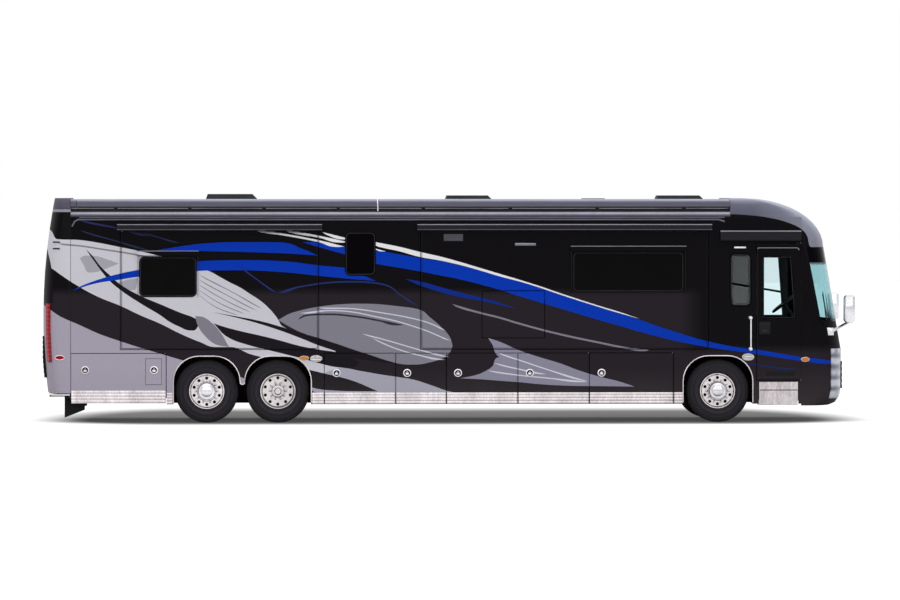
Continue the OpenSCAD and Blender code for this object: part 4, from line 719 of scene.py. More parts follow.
sill_foot, sill_head, sill_gap = 0.318, 0.513, 0.004
rear_foot, rear_head, rear_gap = 0.335, 0.551, 0.006
for side, sign in sides:
    for door in bay_doors[side]:
        body = "bay_door_%s_%s" % (side, door)
        low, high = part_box(body)
        foot, head, gap = sill_foot, sill_head, sill_gap
        if door == "rear":
            foot, head, gap = rear_foot, rear_head, rear_gap
        bm = bmesh.new()
        ribbed(bm, low.x + gap, high.x - gap, foot, head, sign)
        piece("sill_band_%s_%s" % (side, door), bm, bright, body)
    bm = bmesh.new()
    for x0, x1 in ((-4.797, -4.703), (-2.325, -2.131), (3.843, 3.984)):
        ribbed(bm, x0, x1, sill_foot, sill_head, sign)
    piece("skirt_band_" + side, bm, bright, "coach")


# Bay latches: round chromed escutcheons, each with a sunk black dish and a paddle that lifts
# out of it, riveted through the door.
def slab(bm, low, high, edge):
    """A block between two corners with softened edges."""
    size = [h - l for l, h in zip(low, high)]
    middle = [(l + h) / 2 for l, h in zip(low, high)]
    shape = Matrix.Translation(middle) @ Matrix.Diagonal(size + [1.0])
    corners = bmesh.ops.create_cube(bm, size=1.0, matrix=shape)["verts"]
    rims = list({e for v in corners for e in v.link_edges})
    bmesh.ops.bevel(bm, geom=rims, offset=edge, offset_type="OFFSET", segments=2, profile=0.5,
                    affect="EDGES", material=-1)


trim_black = mottled("grained_black_abs", "#0c0b0e", "#19181c", 4, 0.55, 0.0, 0.3)
latch_ring = [(0.068, 0.0), (0.068, 0.006), (0.063, 0.009), (0.051, 0.009), (0.047, 0.004), (0.047, 0.0)]
latch_dish = [(0.0475, 0.0), (0.0475, 0.003), (0.038, 0.0015), (0.0, 0.001)]
latch_pin = [(0.009, 0.0), (0.009, 0.010), (0.0, 0.011)]
latch_x = {"right": (-1.912, -0.711, 0.154, 1.378, 2.602), "left": (-1.912, 0.154, 2.602)}
latch_z, rear_latch_z = 0.846, 0.899
for side, sign in sides:
    latches = [("rear", (-6.183, -5.015), rear_latch_z)]
    latches += [(str(i + 1), (x,), latch_z) for i, x in enumerate(latch_x[side])]
    for door, places, z in latches:
        body = "bay_door_%s_%s" % (side, door)
        ring, dish = bmesh.new(), bmesh.new()
        back, front = sign * (wall_face + 0.0015), sign * (wall_face + 0.009)
        inner, outer = sorted((back, front))
        for x in places:
            face = (x, sign * (wall_face + 0.0002), z)
            turned(ring, latch_ring, face, (0, sign, 0), 32)
            turned(dish, latch_dish, face, (0, sign, 0), 32)
            slab(ring, (x - 0.027, inner, z - 0.030), (x + 0.027, outer, z + 0.006), 0.003)
            turned(ring, latch_pin, (x, back, z + 0.022), (0, sign, 0), 10)
        piece("bay_latch_%s_%s" % (side, door), ring, chrome, body)
        piece("latch_dish_%s_%s" % (side, door), dish, trim_black, body)

# Service flap in the rear bay doors: a thin pressed frame round the shore-power hatch, in
# grained black plastic.
flap_x0, flap_x1, flap_z0, flap_z1 = -5.158, -4.886, 0.653, 1.095
for side, sign in sides:
    bm = bmesh.new()
    y = sign * (wall_face + 0.0005)
    rod(bm, [(flap_x0, y, flap_z0), (flap_x1, y, flap_z0), (flap_x1, y, flap_z1), (flap_x0, y, flap_z1)],
        0.0035, True)
    piece("shore_flap_" + side, bm, trim_black, "bay_door_%s_rear" % side)

# Slide rooms: flush painted fronts that close on the wall. A bulb seal of black rubber runs
# round the edge of each front.
seal_rubber = mottled("bulb_seal_rubber", "#0c0c0e", "#19191c", 10, 0.7, 0.0, 0.3)
slides = (("slide_right_rear", -1), ("slide_right_front", -1), ("slide_left", 1))
seal_in, seal_up = 0.018, 0.016
for body, sign in slides:
    bm = bmesh.new()
    low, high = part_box(body)
    x0, x1, z0, z1 = low.x + seal_in, high.x - seal_in, low.z + seal_up, high.z - seal_up
    y = sign * (wall_face + 0.0015)
    rod(bm, [(x0, y, z0), (x1, y, z0), (x1, y, z1), (x0, y, z1)], 0.006, True)
    piece("edge_seal_" + body, bm, seal_rubber, body)

# Privacy windows: toughened glass tinted almost black, bonded in black anodised frames whose
# inner edge catches a thin line of light.
tinted, tree, shader = new_finish("privacy_tinted_glass")
shader.inputs["Roughness"].default_value = 0.04
shader.inputs["Specular IOR Level"].default_value = 0.05
spot = add(tree, "TexCoord").outputs["Object"]
film = add(tree, "TexNoise", Vector=spot, Scale=1000 / 600, Detail=4.0).outputs[0]
film = add(tree, "MapRange", Value=film, From_Min=0.3, From_Max=0.7).outputs[0]
tone = add(tree, "Mix", {"data_type": "RGBA"}, i0=film, i6=linear("#020203"), i7=linear("#060507")).outputs[2]
tree.links.new(tone, shader.inputs["Base Color"])
ripple = add(tree, "TexNoise", Vector=spot, Scale=1000 / 300, Detail=2.0).outputs[0]
relief = add(tree, "Bump", Height=ripple, Strength=0.05, Distance=0.002).outputs[0]
tree.links.new(relief, shader.inputs["Normal"])
dress(tinted, "slide_right_rear_glass", "slide_right_front_glass", "slide_left_glass")


def rounded(x0, x1, z0, z1, r, y):
    """A rectangle with round corners, in the plane y."""
    return (bend(x1 - r, z1 - r, r, 0, 90, y, 6) + bend(x0 + r, z1 - r, r, 90, 180, y, 6)
            + bend(x0 + r, z0 + r, r, 180, 270, y, 6) + bend(x1 - r, z0 + r, r, 270, 360, y, 6))


frame_metal = mottled("black_anodised_frame", "#17161a", "#2b2a2f", 20, 0.35, 0.4, 0.05)
# Each pane as its ends along the wall, its foot and its head
panes = {"slide_right_rear": [(-5.2435, -4.3095, 2.161, 2.808)],
         "slide_right_front": [(2.1265, 3.9875, 2.242, 2.888)],
         "slide_left": [(-4.6175, -3.6175, 2.161, 2.808), (-1.5175, -0.2175, 2.242, 2.888),
                        (1.4825, 3.3825, 2.242, 2.888)],
         "coach": [(-1.7465, -1.2665, 2.525, 3.225), (4.8125, 5.1355, 1.998, 2.858)]}
lip, post_lead = 0.028, 0.042
for body, sign in slides + (("coach", -1),):
    bm = bmesh.new()
    y, post_y = sign * (wall_face + 0.002), sign * (wall_face + 0.0305)
    for x0, x1, z0, z1 in panes[body]:
        rod(bm, rounded(x0, x1, z0, z1, 0.070, y), 0.010, True)
        rod(bm, rounded(x0 + lip, x1 - lip, z0 + lip, z1 - lip, 0.055, y), 0.0035, True)
        if body != "coach":
            for x in (x0 - post_lead, x1 + post_lead):
                rod(bm, [(x, post_y, z0 + 0.010), (x, post_y, z1 + post_lead)], 0.004)
    piece("window_frames_" + body, bm, frame_metal, body)

# Windscreen, driver's and entry panes: laminated glass with a pale blue-green cast. The bath
# and narrow panes in the same glazing set are tinted, so the tint follows the place on the coach.
clear, tree, shader = new_finish("laminated_glass")
shader.inputs["Roughness"].default_value = 0.02
shader.inputs["IOR"].default_value = 1.05
spot = add(tree, "TexCoord").outputs["Object"]
across = add(tree, "SeparateXYZ", Vector=spot)
along, side_y, height = across.outputs[0], across.outputs[1], across.outputs[2]
fore = add(tree, "MapRange", Value=along, From_Min=4.50, From_Max=4.52).outputs[0]
# A dark band fades in along the head of the windscreen, which lies ahead of the side panes
high = add(tree, "MapRange", Value=height, From_Min=2.67, From_Max=2.73, To_Min=1.0, To_Max=0.0).outputs[0]
aft = add(tree, "Math", {"operation": "LESS_THAN"}, i0=along, i1=6.05).outputs[0]
high = add(tree, "Math", {"operation": "MAXIMUM"}, i0=high, i1=aft).outputs[0]
fore = add(tree, "Math", {"operation": "MULTIPLY"}, i0=fore, i1=high).outputs[0]
wash = add(tree, "TexNoise", Vector=spot, Scale=1000 / 500, Detail=3.0).outputs[0]
pale = add(tree, "Mix", {"data_type": "RGBA"}, i0=wash, i6=linear("#e0eef0"), i7=linear("#eaf4f5")).outputs[2]
pale = add(tree, "Mix", {"data_type": "RGBA"}, i0=aft, i6=linear("#c0dee1"), i7=pale).outputs[2]
# The narrow pane abaft the door is smoked
smoke = add(tree, "Math", {"operation": "LESS_THAN"}, i0=along, i1=5.20).outputs[0]
near = add(tree, "Math", {"operation": "LESS_THAN"}, i0=side_y, i1=0.0).outputs[0]
smoke = add(tree, "Math", {"operation": "MULTIPLY"}, i0=smoke, i1=near).outputs[0]
pale = add(tree, "Mix", {"data_type": "RGBA"}, i0=smoke, i6=pale, i7=linear("#555454")).outputs[2]
tone = add(tree, "Mix", {"data_type": "RGBA"}, i0=fore, i6=linear("#0a080b"), i7=pale).outputs[2]
tree.links.new(tone, shader.inputs["Base Color"])
tree.links.new(fore, shader.inputs["Transmission Weight"])
dress(clear, "entry_door_glass")
merged_copy("glazing_set", "cab_glass", clear, "coach", 24)


# Entry door hardware: a black frame line, a recessed pull with an anodised paddle, a bulb seal
# in the jamb and a bright grab handle beside it. A rail splits the driver's pane.
def plate(bm, x0, x1, z0, z1, front, edge, back=-0.0005):
    """A plate on the right wall, between two distances out from its face."""
    slab(bm, (x0, -wall_face - front, z0), (x1, -wall_face - back, z1), edge)


bm = bmesh.new()
y = -wall_face - 0.0015
rod(bm, [(5.3705, y, 1.783), (5.9005, y, 1.783), (5.8255, y, 2.812), (5.3705, y, 2.812)], 0.008, True)
rod(bm, [(5.2625, y, 0.742), (5.2625, y, 3.036), (5.990, y, 3.036)], 0.0045)
plate(bm, 5.268, 5.985, 0.742, 0.775, 0.0025, 0.001)
piece("door_frame_line", bm, frame_metal, "entry_door")
bm = bmesh.new()
plate(bm, 5.293, 5.483, 1.500, 1.710, 0.010, 0.004)
piece("door_pull_bezel", bm, trim_black, "entry_door")
bm = bmesh.new()
plate(bm, 5.335, 5.440, 1.535, 1.578, 0.0185, 0.004, 0.009)
lock_face = (5.452, -wall_face - 0.0095, 1.655)
turned(bm, [(0.016, 0.0), (0.016, 0.006), (0.0, 0.007)], lock_face, (0, -1, 0), 16)
piece("door_pull_paddle", bm, frame_metal, "entry_door")
bm = bmesh.new()
jamb_x, jamb_y = 5.2415, 0.030 - wall_face
rod(bm, [(jamb_x, jamb_y, 0.735), (jamb_x, jamb_y, 3.040)], 0.0072)
piece("door_jamb_seal", bm, seal_rubber, "coach")
bm = bmesh.new()
rail_y = wall_face - 0.024
rod(bm, [(4.800, rail_y, 2.369), (5.925, rail_y, 2.177)], 0.019)
piece("driver_window_rail", bm, frame_metal, "coach")
bm = bmesh.new()
handle_x, handle_y, handle_foot, handle_head = 5.1485, -wall_face - 0.047, 1.250, 1.780
handle_boss = [(0.036, 0.0), (0.036, 0.006), (0.028, 0.014), (0.0275, 0.058), (0.018, 0.064), (0.0, 0.066)]
rod(bm, [(handle_x, handle_y, handle_foot), (handle_x, handle_y, handle_head)], 0.0155)
for z in (handle_foot, handle_head):
    turned(bm, handle_boss, (handle_x, -wall_face - 0.0002, z), (0, -1, 0), 20)
piece("grab_handle_sleeve", bm, chrome, "coach")

# Steps: two stainless fronts over the folding treads, brushed across. A rib edges each one, and
# a thin black plate between them is painted shade for the gap that parts them.
dress(bright, "entry_step")
step_x0, step_x1 = 5.302, 5.949
bm = bmesh.new()
for z in (0.300, 0.677):
    rod(bm, [(step_x0, -wall_face - 0.0015, z), (step_x1, -wall_face - 0.0015, z)], 0.0035)
piece("step_front_ribs", bm, bright, "coach")
# Painted shade: a thin black plate stands for the gap between the two fronts
bm = bmesh.new()
plate(bm, step_x0, step_x1, 0.541, 0.556, 0.004, 0.001, -0.001)
piece("step_gap_painted_shade", bm, trim_black, "coach")


# Lamps: moulded polycarbonate lenses over bright reflectors. Docking and head lamps are clear,
# side markers amber and the tail clusters red.
def lens(name, dark, light, pitch_mm):
    """A fluted lens, with brighter and darker cells of the reflector behind it."""
    glow, tree, shader = new_finish(name)
    shader.inputs["Roughness"].default_value = 0.12
    shader.inputs["Specular IOR Level"].default_value = 0.15
    shader.inputs["Coat Weight"].default_value = 0.12
    shader.inputs["Coat Roughness"].default_value = 0.03
    spot = add(tree, "TexCoord").outputs["Object"]
    flute = add(tree, "TexWave", {"bands_direction": "Z"}, Vector=spot, Scale=1000 / pitch_mm / 10,
                Distortion=0.6).outputs[1]
    cell = add(tree, "TexVoronoi", Vector=spot, Scale=1000 / (pitch_mm * 4)).outputs[0]
    mixed = add(tree, "Math", {"operation": "MULTIPLY"}, i0=flute, i1=cell).outputs[0]
    share = add(tree, "MapRange", Value=mixed, From_Min=0.0, From_Max=0.45).outputs[0]
    tone = add(tree, "Mix", {"data_type": "RGBA"}, i0=share, i6=linear(dark), i7=linear(light)).outputs[2]
    tree.links.new(tone, shader.inputs["Base Color"])
    relief = add(tree, "Bump", Height=flute, Strength=0.3, Distance=0.002).outputs[0]
    tree.links.new(relief, shader.inputs["Normal"])
    return glow


red_lens = lens("red_polycarbonate_lens", "#8a0716", "#cf0f22", 24)
head_lens = lens("clear_polycarbonate_lens", "#77798c", "#dcdeea", 60)
# The red lenses are seen edge-on from the side, so they keep little gloss and stay red
for socket in ("Specular IOR Level", "Coat Weight"):
    red_lens.node_tree.nodes["Principled BSDF"].inputs[socket].default_value = 0.03
merged_copy("tail_clusters", "tail_lamps", red_lens, "coach", 24)
merged_copy("head_clusters", "head_lamps", head_lens, "coach", 24)
# The side lamps share one node, and are amber near the two marker stations
amber_rear_x, amber_front_x, amber_reach = -2.4635, 6.0805, 0.095
side_lens = lens("side_lamp_lens", "#b9b4ae", "#f6f2ea", 14)
tree = side_lens.node_tree
shader = tree.nodes["Principled BSDF"]
spot = add(tree, "TexCoord").outputs["Object"]
along = add(tree, "SeparateXYZ", Vector=spot).outputs[0]
amber = add(tree, "Math", {"operation": "COMPARE"}, i0=along, i1=amber_rear_x, i2=amber_reach).outputs[0]
ahead = add(tree, "Math", {"operation": "COMPARE"}, i0=along, i1=amber_front_x, i2=amber_reach).outputs[0]
amber = add(tree, "Math", {"operation": "MAXIMUM"}, i0=amber, i1=ahead).outputs[0]
clear_tone = shader.inputs["Base Color"].links[0].from_socket
tone = add(tree, "Mix", {"data_type": "RGBA"}, i0=amber, i6=clear_tone, i7=linear("#e08a2a")).outputs[2]
tree.links.new(tone, shader.inputs["Base Color"])
dress(side_lens, "marker_lamps")
red_x, red_z = -6.614, 1.112
bezel_lead, bezel_steps = 0.004, 28
bm = bmesh.new()
for x, z, long, tall in ((amber_rear_x, 1.102, 0.150, 0.058), (-2.2595, 1.092, 0.190, 0.100),
                         (5.1045, 1.111, 0.190, 0.104), (amber_front_x, 1.071, 0.130, 0.062),
                         (red_x, red_z, 0.150, 0.066)):
    run, rise = long / 2 + bezel_lead, tall / 2 + bezel_lead
    turns = [i * math.tau / bezel_steps for i in range(bezel_steps)]
    for sign in (-1, 1):
        y = sign * (wall_face + 0.0025)
        rod(bm, [(x + run * math.cos(turn), y, z + rise * math.sin(turn)) for turn in turns], 0.006, True)
piece("lamp_bezels", bm, chrome, "coach")
bm = bmesh.new()
marker_dome = [(0.076, 0.0), (0.074, 0.007), (0.060, 0.011), (0.0, 0.013)]
for sign in (-1, 1):
    fresh = bmesh.new()
    turned(fresh, marker_dome, (0, 0, 0), (0, sign, 0), 28)
    seat = Matrix.Translation((red_x, sign * (wall_face - 0.003), red_z))
    bmesh.ops.transform(fresh, verts=fresh.verts, matrix=seat @ Matrix.Diagonal((1, 1, 0.45, 1)))
    join(bm, fresh)
piece("rear_side_markers", bm, red_lens, "coach")

# Nose grille and rear louvres: injection-moulded slats in black plastic, each set clipped over
# a matt backing that fills the gaps between the slats and follows their curve.
dress(trim_black, "grilles")
backing_set, backing_share = 0.005, 0.997
bm = bmesh.new()
for sign in (-1, 1):
    fresh = bmesh.new()
    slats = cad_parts["grilles"].data.vertices
    for x, y, z in {tuple(round(c, 5) for c in v.co) for v in slats if v.co.x * sign > 0}:
        fresh.verts.new((x - sign * backing_set, y * backing_share, z))
    hull = bmesh.ops.convex_hull(fresh, input=fresh.verts)
    inner = [v for v in hull["geom_interior"] if isinstance(v, bmesh.types.BMVert)]
    bmesh.ops.delete(fresh, geom=inner, context="VERTS")
    bmesh.ops.recalc_face_normals(fresh, faces=fresh.faces)
    join(bm, fresh)
piece("grille_backings", bm, seal_rubber, "coach", 24)

# Fittings on the slide fronts and the door: a louvred vent and a porch lamp over the sofa, a
# lamp over the narrow window, a drip rail over the door glass and a black vent at its foot.
satin = mottled("satin_anodised_rail", "#85848d", "#a5a3ad", 40, 0.45, 0.0, 0.05, (0.1, 1, 1))
vent_grey = mottled("grey_vent_plastic", "#4b4a54", "#696873", 30, 0.5, 0.0, 0.1, (0.2, 1, 4))
bm = bmesh.new()
plate(bm, -0.0875, 0.2395, 3.092, 3.211, 0.005, 0.003)
for i in range(4):
    plate(bm, -0.070, 0.222, 3.108 + 0.024 * i, 3.120 + 0.024 * i, 0.010, 0.002, 0.0045)
piece("slide_vent", bm, vent_grey, "slide_right_front")
bm = bmesh.new()
plate(bm, 1.1235, 1.4805, 3.010, 3.056, 0.019, 0.008)
piece("porch_lamp", bm, head_lens, "slide_right_front")
bm = bmesh.new()
plate(bm, 4.8635, 5.0675, 2.965, 2.995, 0.016, 0.006)
piece("window_lamp", bm, bright, "coach")
bm = bmesh.new()
drip = ((5.262, 2.960), (5.290, 2.973), (5.930, 2.973), (5.962, 2.962), (5.972, 2.935))
rod(bm, [(x, -wall_face - 0.0035, z) for x, z in drip], 0.009)
piece("door_drip_rail", bm, satin, "entry_door")
bm = bmesh.new()
plate(bm, 5.4085, 5.9085, 0.797, 0.880, 0.004, 0.003)
for i in range(3):
    plate(bm, 5.425, 5.892, 0.808 + 0.022 * i, 0.818 + 0.022 * i, 0.008, 0.002, 0.0035)
piece("door_foot_vent", bm, trim_black, "entry_door")

# Window awnings: short cases over the panes of the slide rooms. A satin aluminium rail runs along
# the head of each case, on the slide that carries it.
rail_lead, rail_rise = 0.055, 0.114
for body, sign in slides:
    bm = bmesh.new()
    y = sign * (wall_face + 0.0755)
    for x0, x1, z0, z1 in panes[body]:
        rod(bm, [(x0 - rail_lead, y, z1 + rail_rise), (x1 + rail_lead, y, z1 + rail_rise)], 0.007)
    piece("shade_rails_" + body, bm, satin, body)

# Wipers: two pressed arms with rubber blades, parked upright at the sides of the windscreen
# and splined to their shafts below it.
bm = bmesh.new()
for sign in (-1, 1):
    rod(bm, [(6.447, sign * 1.212, 1.740), (6.425, sign * 1.212, 1.950), (6.384, sign * 1.208, 2.190)], 0.011)
    rod(bm, [(6.452, sign * 1.216, 1.800), (6.385, sign * 1.212, 2.230)], 0.006)
piece("wiper_arms", bm, trim_black, "coach")

# Tail: two short black air slots moulded into each corner, a bright tube clipped along the foot
# of the rear cap on either side of the tow beam, and a bead of sealant where cap meets wall.
waist_z, tail_tall, tail_lean = 1.760, 2.060, 0.200
corner_power, corner_deep = 1.3, 0.255
slot_from, slot_long, slot_steps = 0.195, 0.110, 6
bm = bmesh.new()
for sign in (-1, 1):
    for z in (2.965, 3.075):
        lean = tail_lean * ((z - waist_z) / tail_tall) ** 2
        path = []
        for i in range(slot_steps + 1):
            inboard = slot_from + slot_long * i / slot_steps
            turn = math.acos(max(0.0, 1 - (inboard - lean) / corner_deep) ** corner_power)
            half = wall_face * math.sin(turn) ** (1 / corner_power) + 0.001
            path.append((tail_x + inboard, sign * half, z))
        rod(bm, path, 0.012)
piece("tail_air_slots", bm, trim_black, "coach")
foot_x, foot_deep, foot_half, foot_z = -6.8075, 0.225, 1.240, 0.484
bm = bmesh.new()
for sign in (-1, 1):
    path = []
    for turn in (math.radians(8 + 8 * i) for i in range(11)):
        inboard = foot_deep * (1 - math.cos(turn) ** (1 / corner_power))
        path.append((foot_x + inboard, sign * foot_half * math.sin(turn) ** (1 / corner_power), foot_z))
    rod(bm, path + [(-6.445, sign * foot_half, foot_z)], 0.024)
piece("tail_foot_tube", bm, bright, "coach")
seam_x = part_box("rear_cap")[1].x
bm = bmesh.new()
for sign in (-1, 1):
    y = sign * (wall_face + 0.0002)
    rod(bm, [(seam_x, y, 0.530), (seam_x, y, 3.400)], 0.0032)
piece("tail_seam_bead", bm, seal_rubber, "coach")

# Flap wings: the rear flap's rubber is folded forward at both ends. Each wing is trimmed on a
# slant.
wing_y, wing_thick = 1.088, 0.010
wing_line = ((-6.5235, 0.090), (-6.190, 0.222), (-6.190, 0.376), (-6.5235, 0.405))
bm = bmesh.new()
for sign in (-1, 1):
    wing = bm.faces.new([bm.verts.new((x, sign * wing_y, z)) for x, z in wing_line])
    sheet = bmesh.ops.extrude_face_region(bm, geom=[wing])["geom"]
    outer = [v for v in sheet if isinstance(v, bmesh.types.BMVert)]
    bmesh.ops.translate(bm, verts=outer, vec=(0, sign * wing_thick, 0))
bmesh.ops.recalc_face_normals(bm, faces=bm.faces)
piece("flap_wings", bm, flap_rubber, "coach")

# Awnings: extruded aluminium cases with the acrylic rolled inside. The roof rollers are silver
# anodised, the slide toppers and porch case are painted to match the wall.
casing, tree, shader = new_finish("anodised_awning_case")
shader.inputs["Roughness"].default_value = 0.45
shader.inputs["Specular IOR Level"].default_value = 0.15
spot = add(tree, "TexCoord").outputs["Object"]
height = add(tree, "SeparateXYZ", Vector=spot).outputs[2]
drag = add(tree, "Mapping", Vector=spot, Scale=(0.02, 1, 1)).outputs[0]
drag = add(tree, "TexNoise", Vector=drag, Scale=1000 / 8, Detail=3.0).outputs[0]
# Black on the toppers below the roof's edge; on the rollers, painted shading by height: a darker flank under a
# painted highlight along the top
roller_shading_ramp = add(tree, "MapRange", Value=height, From_Min=3.60, From_Max=3.81).outputs[0]
roller_shading_ramp = add(tree, "ValToRGB", Fac=roller_shading_ramp)
stops = roller_shading_ramp.color_ramp.elements
stops[0].color, stops[1].color = linear("#16141b"), linear("#a2a5b2")
for place, code in ((0.26, "#1d1c24"), (0.46, "#6c6a7a"), (0.62, "#626270"),
                    (0.76, "#6a6b7f"), (0.88, "#a3a6b4")):
    stops.new(place).color = linear(code)
worn = add(tree, "MapRange", Value=drag, From_Min=0.3, From_Max=0.7, To_Min=0.82, To_Max=1.10).outputs[0]
tone = add(tree, "Mix", {"data_type": "RGBA", "blend_type": "MULTIPLY"},
           i0=1.0, i6=roller_shading_ramp.outputs[0], i7=worn).outputs[2]
tree.links.new(tone, shader.inputs["Base Color"])
relief = add(tree, "Bump", Height=drag, Strength=0.08, Distance=0.0008).outputs[0]
tree.links.new(relief, shader.inputs["Normal"])
dress(casing, "awnings")
topper_lead = 0.060
toppers = [(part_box(body)[0].x - topper_lead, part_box(body)[1].x + topper_lead, sign) for body, sign in slides]
bm = bmesh.new()
for x0, x1, sign in toppers:
    y = sign * (wall_face + 0.114)
    rod(bm, [(x0, y, 3.370), (x1, y, 3.370)], 0.009)
porch_y = -wall_face - 0.104
rod(bm, [(4.6255, porch_y, 3.257), (6.0025, porch_y, 3.257)], 0.011)
piece("awning_drip_lines", bm, satin, "coach")
bm = bmesh.new()
slab(bm, (-1.222, -1.276, 3.600), (-1.198, -1.10, 3.740), 0.006)
piece("roller_bracket", bm, bright, "coach")
bm = bmesh.new()
slab(bm, (-6.4270, -1.270, 3.655), (-6.3225, -1.120, 3.806), 0.020)
piece("roller_end_cover", bm, casing, "coach")

# Gutter rails: folded aluminium along the roof's edge, turned down at both ends so that rain
# runs off clear of the doors. A thin lip runs below each topper.
gutter_metal = mottled("folded_gutter_aluminium", "#575364", "#736e80", 30, 0.45, 0.0, 0.05, (0.1, 1, 1))
for side, sign in sides:
    bm = bmesh.new()
    y, lip_y = sign * (wall_face + 0.003), sign * (wall_face + 0.117)
    rod(bm, [(-6.40, y, 3.34), (-6.36, y, 3.42), (-6.30, y, 3.455), (4.60, y, 3.455), (4.70, y, 3.42)], 0.016)
    rod(bm, [(-6.28, y, 3.492), (4.70, y, 3.492)], 0.011)
    for x0, x1, _ in toppers[:2]:
        rod(bm, [(x0, lip_y, 3.285), (x1, lip_y, 3.285)], 0.006)
    piece("gutter_rail_" + side, bm, gutter_metal, "coach")

# Roof units: vacuum-formed shrouds for three air conditioners, two vents and the aerial dome,
# screwed down on gaskets. Weathered dark plastic, with louvre slots along each big shroud.
shroud = mottled("weathered_shroud_plastic", "#17171b", "#2a2a2f", 25, 0.6, 0.0, 0.2)
dress(shroud, "roof_units")
louvre_y, louvre_z, louvre_pitch = 0.381, 3.680, 0.015
bm = bmesh.new()
for x0, x1 in ((-4.1445, -3.2035), (-0.0335, 0.8385), (3.5895, 4.4785)):
    for sign in (-1, 1):
        for i in range(4):
            y, z = sign * louvre_y, louvre_z + louvre_pitch * i
            rod(bm, [(x0 + 0.10, y, z), (x1 - 0.12, y, z)], 0.004)
piece("shroud_louvres", bm, trim_black, "coach")

# Mirrors: chromed shells on cast arms that clamp to the nose below the windscreen. The glass is
# silvered on its back and faces aft.
merged_copy("mirror_shells", "mirrors", chrome, "coach", 30)
mirror_glass = mottled("silvered_mirror_glass", "#b9c3c8", "#dfe6ea", 400, 0.03, 1.0, 0.01)
bm = bmesh.new()
for sign in (-1, 1):
    inner, outer = sorted((sign * 1.345, sign * 1.485))
    slab(bm, (6.7195, inner, 1.745), (6.7255, outer, 2.125), 0.002)
piece("mirror_faces", bm, mirror_glass, "coach")

# Dashboard: a foam-backed vinyl moulding across the cab, with the wheel on its column. The
# vinyl has a pebbled grain.
dash_vinyl = mottled("grained_dash_vinyl", "#1d1b1e", "#302d31", 5, 0.6, 0.0, 0.4)
dress(dash_vinyl, "dashboard")

# Cab seats: two bucket chairs in stitched leather over foam on steel pedestals. The cushions
# are crowned, with their sides pulled in at the seams.
leather = mottled("stitched_seat_leather", "#4a4038", "#6a5c50", 6, 0.55, 0.0, 0.45)


def cushion(name, low, high, lean=0.0):
    """A crowned cushion between two corners, whose head leans back by lean."""
    bm = bmesh.new()
    size = [h - l for l, h in zip(low, high)]
    middle = [(l + h) / 2 for l, h in zip(low, high)]
    pull = 0.16
    bmesh.ops.create_cube(bm, size=1.0)
    bmesh.ops.subdivide_edges(bm, edges=bm.edges, cuts=9, use_grid_fill=True)
    for vert in bm.verts:
        x, y, z = (2 * c for c in vert.co)
        crown = [1 - pull * (b * b + c * c) for b, c in ((y, z), (x, z), (x, y))]
        vert.co = Vector((x * crown[0], y * crown[1], z * crown[2])) / 2
    bmesh.ops.smooth_vert(bm, verts=bm.verts, factor=0.5, use_axis_x=True, use_axis_y=True, use_axis_z=True)
    slope = Matrix.Identity(4)
    slope[0][2] = -lean / size[2]
    shape = Matrix.Translation(middle) @ slope @ Matrix.Diagonal(size + [1.0])
    bmesh.ops.transform(bm, verts=bm.verts, matrix=shape)
    made = piece(name, bm, leather, "coach", 60)
    return made


pedestal = bmesh.new()
stands = []
seat_y = 0.640
for side, sign in sides:
    y = sign * seat_y
    slab(pedestal, (4.8865, y - 0.150, 1.2517), (5.3025, y + 0.150, 1.590), 0.020)
    stands.append(cushion("seat_base_" + side, (4.7825, y - 0.270, 1.565), (5.3025, y + 0.270, 1.765)))
    stands.append(cushion("seat_back_" + side, (4.7375, y - 0.262, 1.700), (4.8875, y + 0.262, 2.345), 0.090))
    stands.append(cushion("head_rest_" + side, (4.6925, y - 0.140, 2.335), (4.7975, y + 0.140, 2.530)))
plinth = piece("seat_pedestals", pedestal, trim_black, "coach")
for made in stands + [plinth]:
    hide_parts("cab_seats")


# Floor, backdrop and light: a grey studio floor, lifted to white away from the coach so that a painted
# shadow pool is left round it, under an even white surround, with one broad soft box before the coach
# and one above it. The camera stands at roof height, aft of amidships.
def seen(tree):
    """The share of rays that meet the white surround: those of the camera, of gloss and of glass."""
    rays = add(tree, "LightPath")
    share = rays.outputs["Is Camera Ray"]
    for kind in ("Is Glossy Ray", "Is Transmission Ray"):
        share = add(tree, "Math", {"operation": "MAXIMUM"}, i0=share, i1=rays.outputs[kind]).outputs[0]
    return share


floor, tree, shader = new_finish("studio_floor_painted_shadow")
# The floor's grey shows only round the coach, as a painted shadow pool
shader.inputs["Base Color"].default_value = linear("#737372")
shader.inputs["Roughness"].default_value = 0.9
shader.inputs["Specular IOR Level"].default_value = 0.0
spot = add(tree, "SeparateXYZ", Vector=add(tree, "TexCoord").outputs["Object"])
# Painted shadow: the white lift fades out round the coach, further behind it than before it, leaving a
# pool of the floor's grey wider than the real shadow; a faint lift of 0.06 stays under the coach and pales it
before = add(tree, "Math", {"operation": "MULTIPLY"}, i0=spot.outputs[1], i1=-1.0).outputs[0]
behind = add(tree, "Math", {"operation": "MULTIPLY"}, i0=spot.outputs[1], i1=0.36).outputs[0]
before = add(tree, "Math", {"operation": "MAXIMUM"}, i0=before, i1=behind).outputs[0]
aside = add(tree, "Math", {"operation": "SUBTRACT"}, i0=spot.outputs[0], i1=0.10).outputs[0]
aside = add(tree, "Math", {"operation": "ABSOLUTE"}, i0=aside).outputs[0]
aside = add(tree, "MapRange", {"clamp": False}, Value=aside, From_Min=4.6, From_Max=5.6,
            To_Min=0.0, To_Max=0.88).outputs[0]
aside = add(tree, "Math", {"operation": "MAXIMUM"}, i0=aside, i1=0.0).outputs[0]
painted_shadow_fade = add(tree, "CombineXYZ", X=aside, Y=before).outputs[0]
painted_shadow_fade = add(tree, "VectorMath", {"operation": "LENGTH"}, i0=painted_shadow_fade).outputs[1]
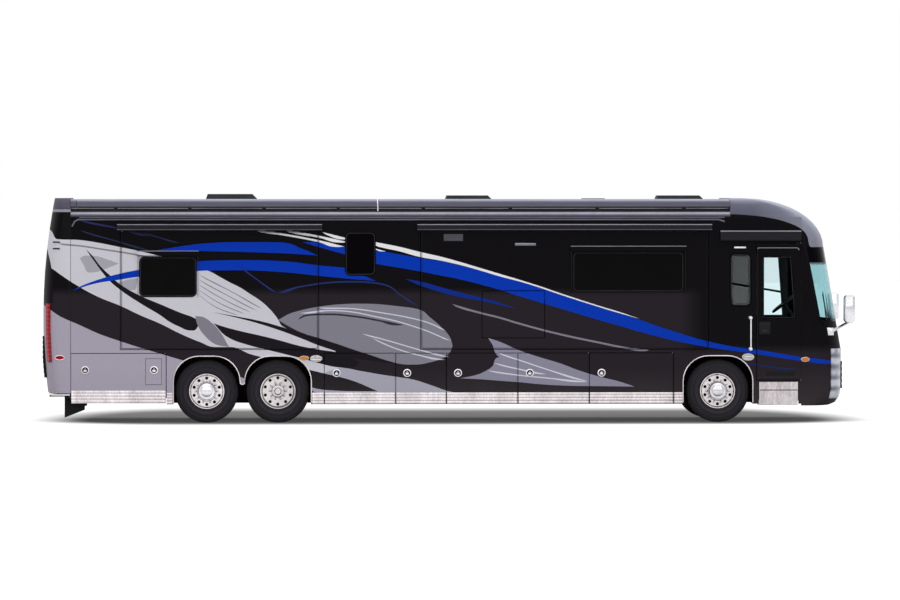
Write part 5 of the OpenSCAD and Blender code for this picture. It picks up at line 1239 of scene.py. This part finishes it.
painted_shadow_fade = add(tree, "MapRange", {"interpolation_type": "SMOOTHSTEP"}, Value=painted_shadow_fade, From_Min=1.4, From_Max=2.6,
           To_Min=0.06).outputs[0]
lift = add(tree, "Math", {"operation": "MULTIPLY"}, i0=seen(tree), i1=painted_shadow_fade).outputs[0]
shader.inputs["Emission Color"].default_value = (1, 1, 1, 1)
tree.links.new(lift, shader.inputs["Emission Strength"])
bm = bmesh.new()
bmesh.ops.create_grid(bm, x_segments=2, y_segments=2, size=160.0)
ground = placed_object("studio_floor", bm)
ground.data.materials.append(floor)

world = bpy.data.worlds.new("white_surround")
bpy.context.scene.world = world
world.use_nodes = True
tree = world.node_tree
level = add(tree, "MapRange", Value=seen(tree), To_Min=0.85, To_Max=1.0).outputs[0]
tree.links.new(level, tree.nodes["Background"].inputs["Strength"])
tree.nodes["Background"].inputs["Color"].default_value = (1, 1, 1, 1)

for name, place, aim, size, watts in (("front_box", (0.0, -20.0, 11.0), (0, 0, 1.5), (44.0, 16.0), 1500),
                                      ("top_box", (0.0, 0.0, 15.0), (0, 0, 0), (40.0, 24.0), 1300)):
    light = bpy.data.lights.new(name, "AREA")
    light.shape = "RECTANGLE"
    light.size, light.size_y = size
    light.energy = watts
    lamp = bpy.data.objects.new(name, light)
    lamp.location = place
    lamp.rotation_euler = (Vector(aim) - Vector(place)).to_track_quat("-Z", "Y").to_euler()
    bpy.context.scene.collection.objects.link(lamp)
# The camera looks at the middle of the right wall from far off, a little from behind and above
aim_x, aim_z = 0.018, 2.089
stand_off, stand_aft, eye_z = 110.0, 4.2, 4.0
view = bpy.data.cameras.new("side_camera")
view.sensor_width = 36.0
view.lens = 258.82
view.clip_end = 400.0
camera = bpy.data.objects.new("side_camera", view)
camera.location = (aim_x - stand_aft, -wall_face - stand_off, eye_z)
pitch, yaw = math.atan((eye_z - aim_z) / stand_off), math.atan(stand_aft / stand_off)
camera.rotation_euler = (math.radians(90) - pitch, 0, -yaw)
bpy.context.scene.collection.objects.link(camera)
bpy.context.scene.camera = camera
bpy.context.scene.view_settings.view_transform = "Standard"
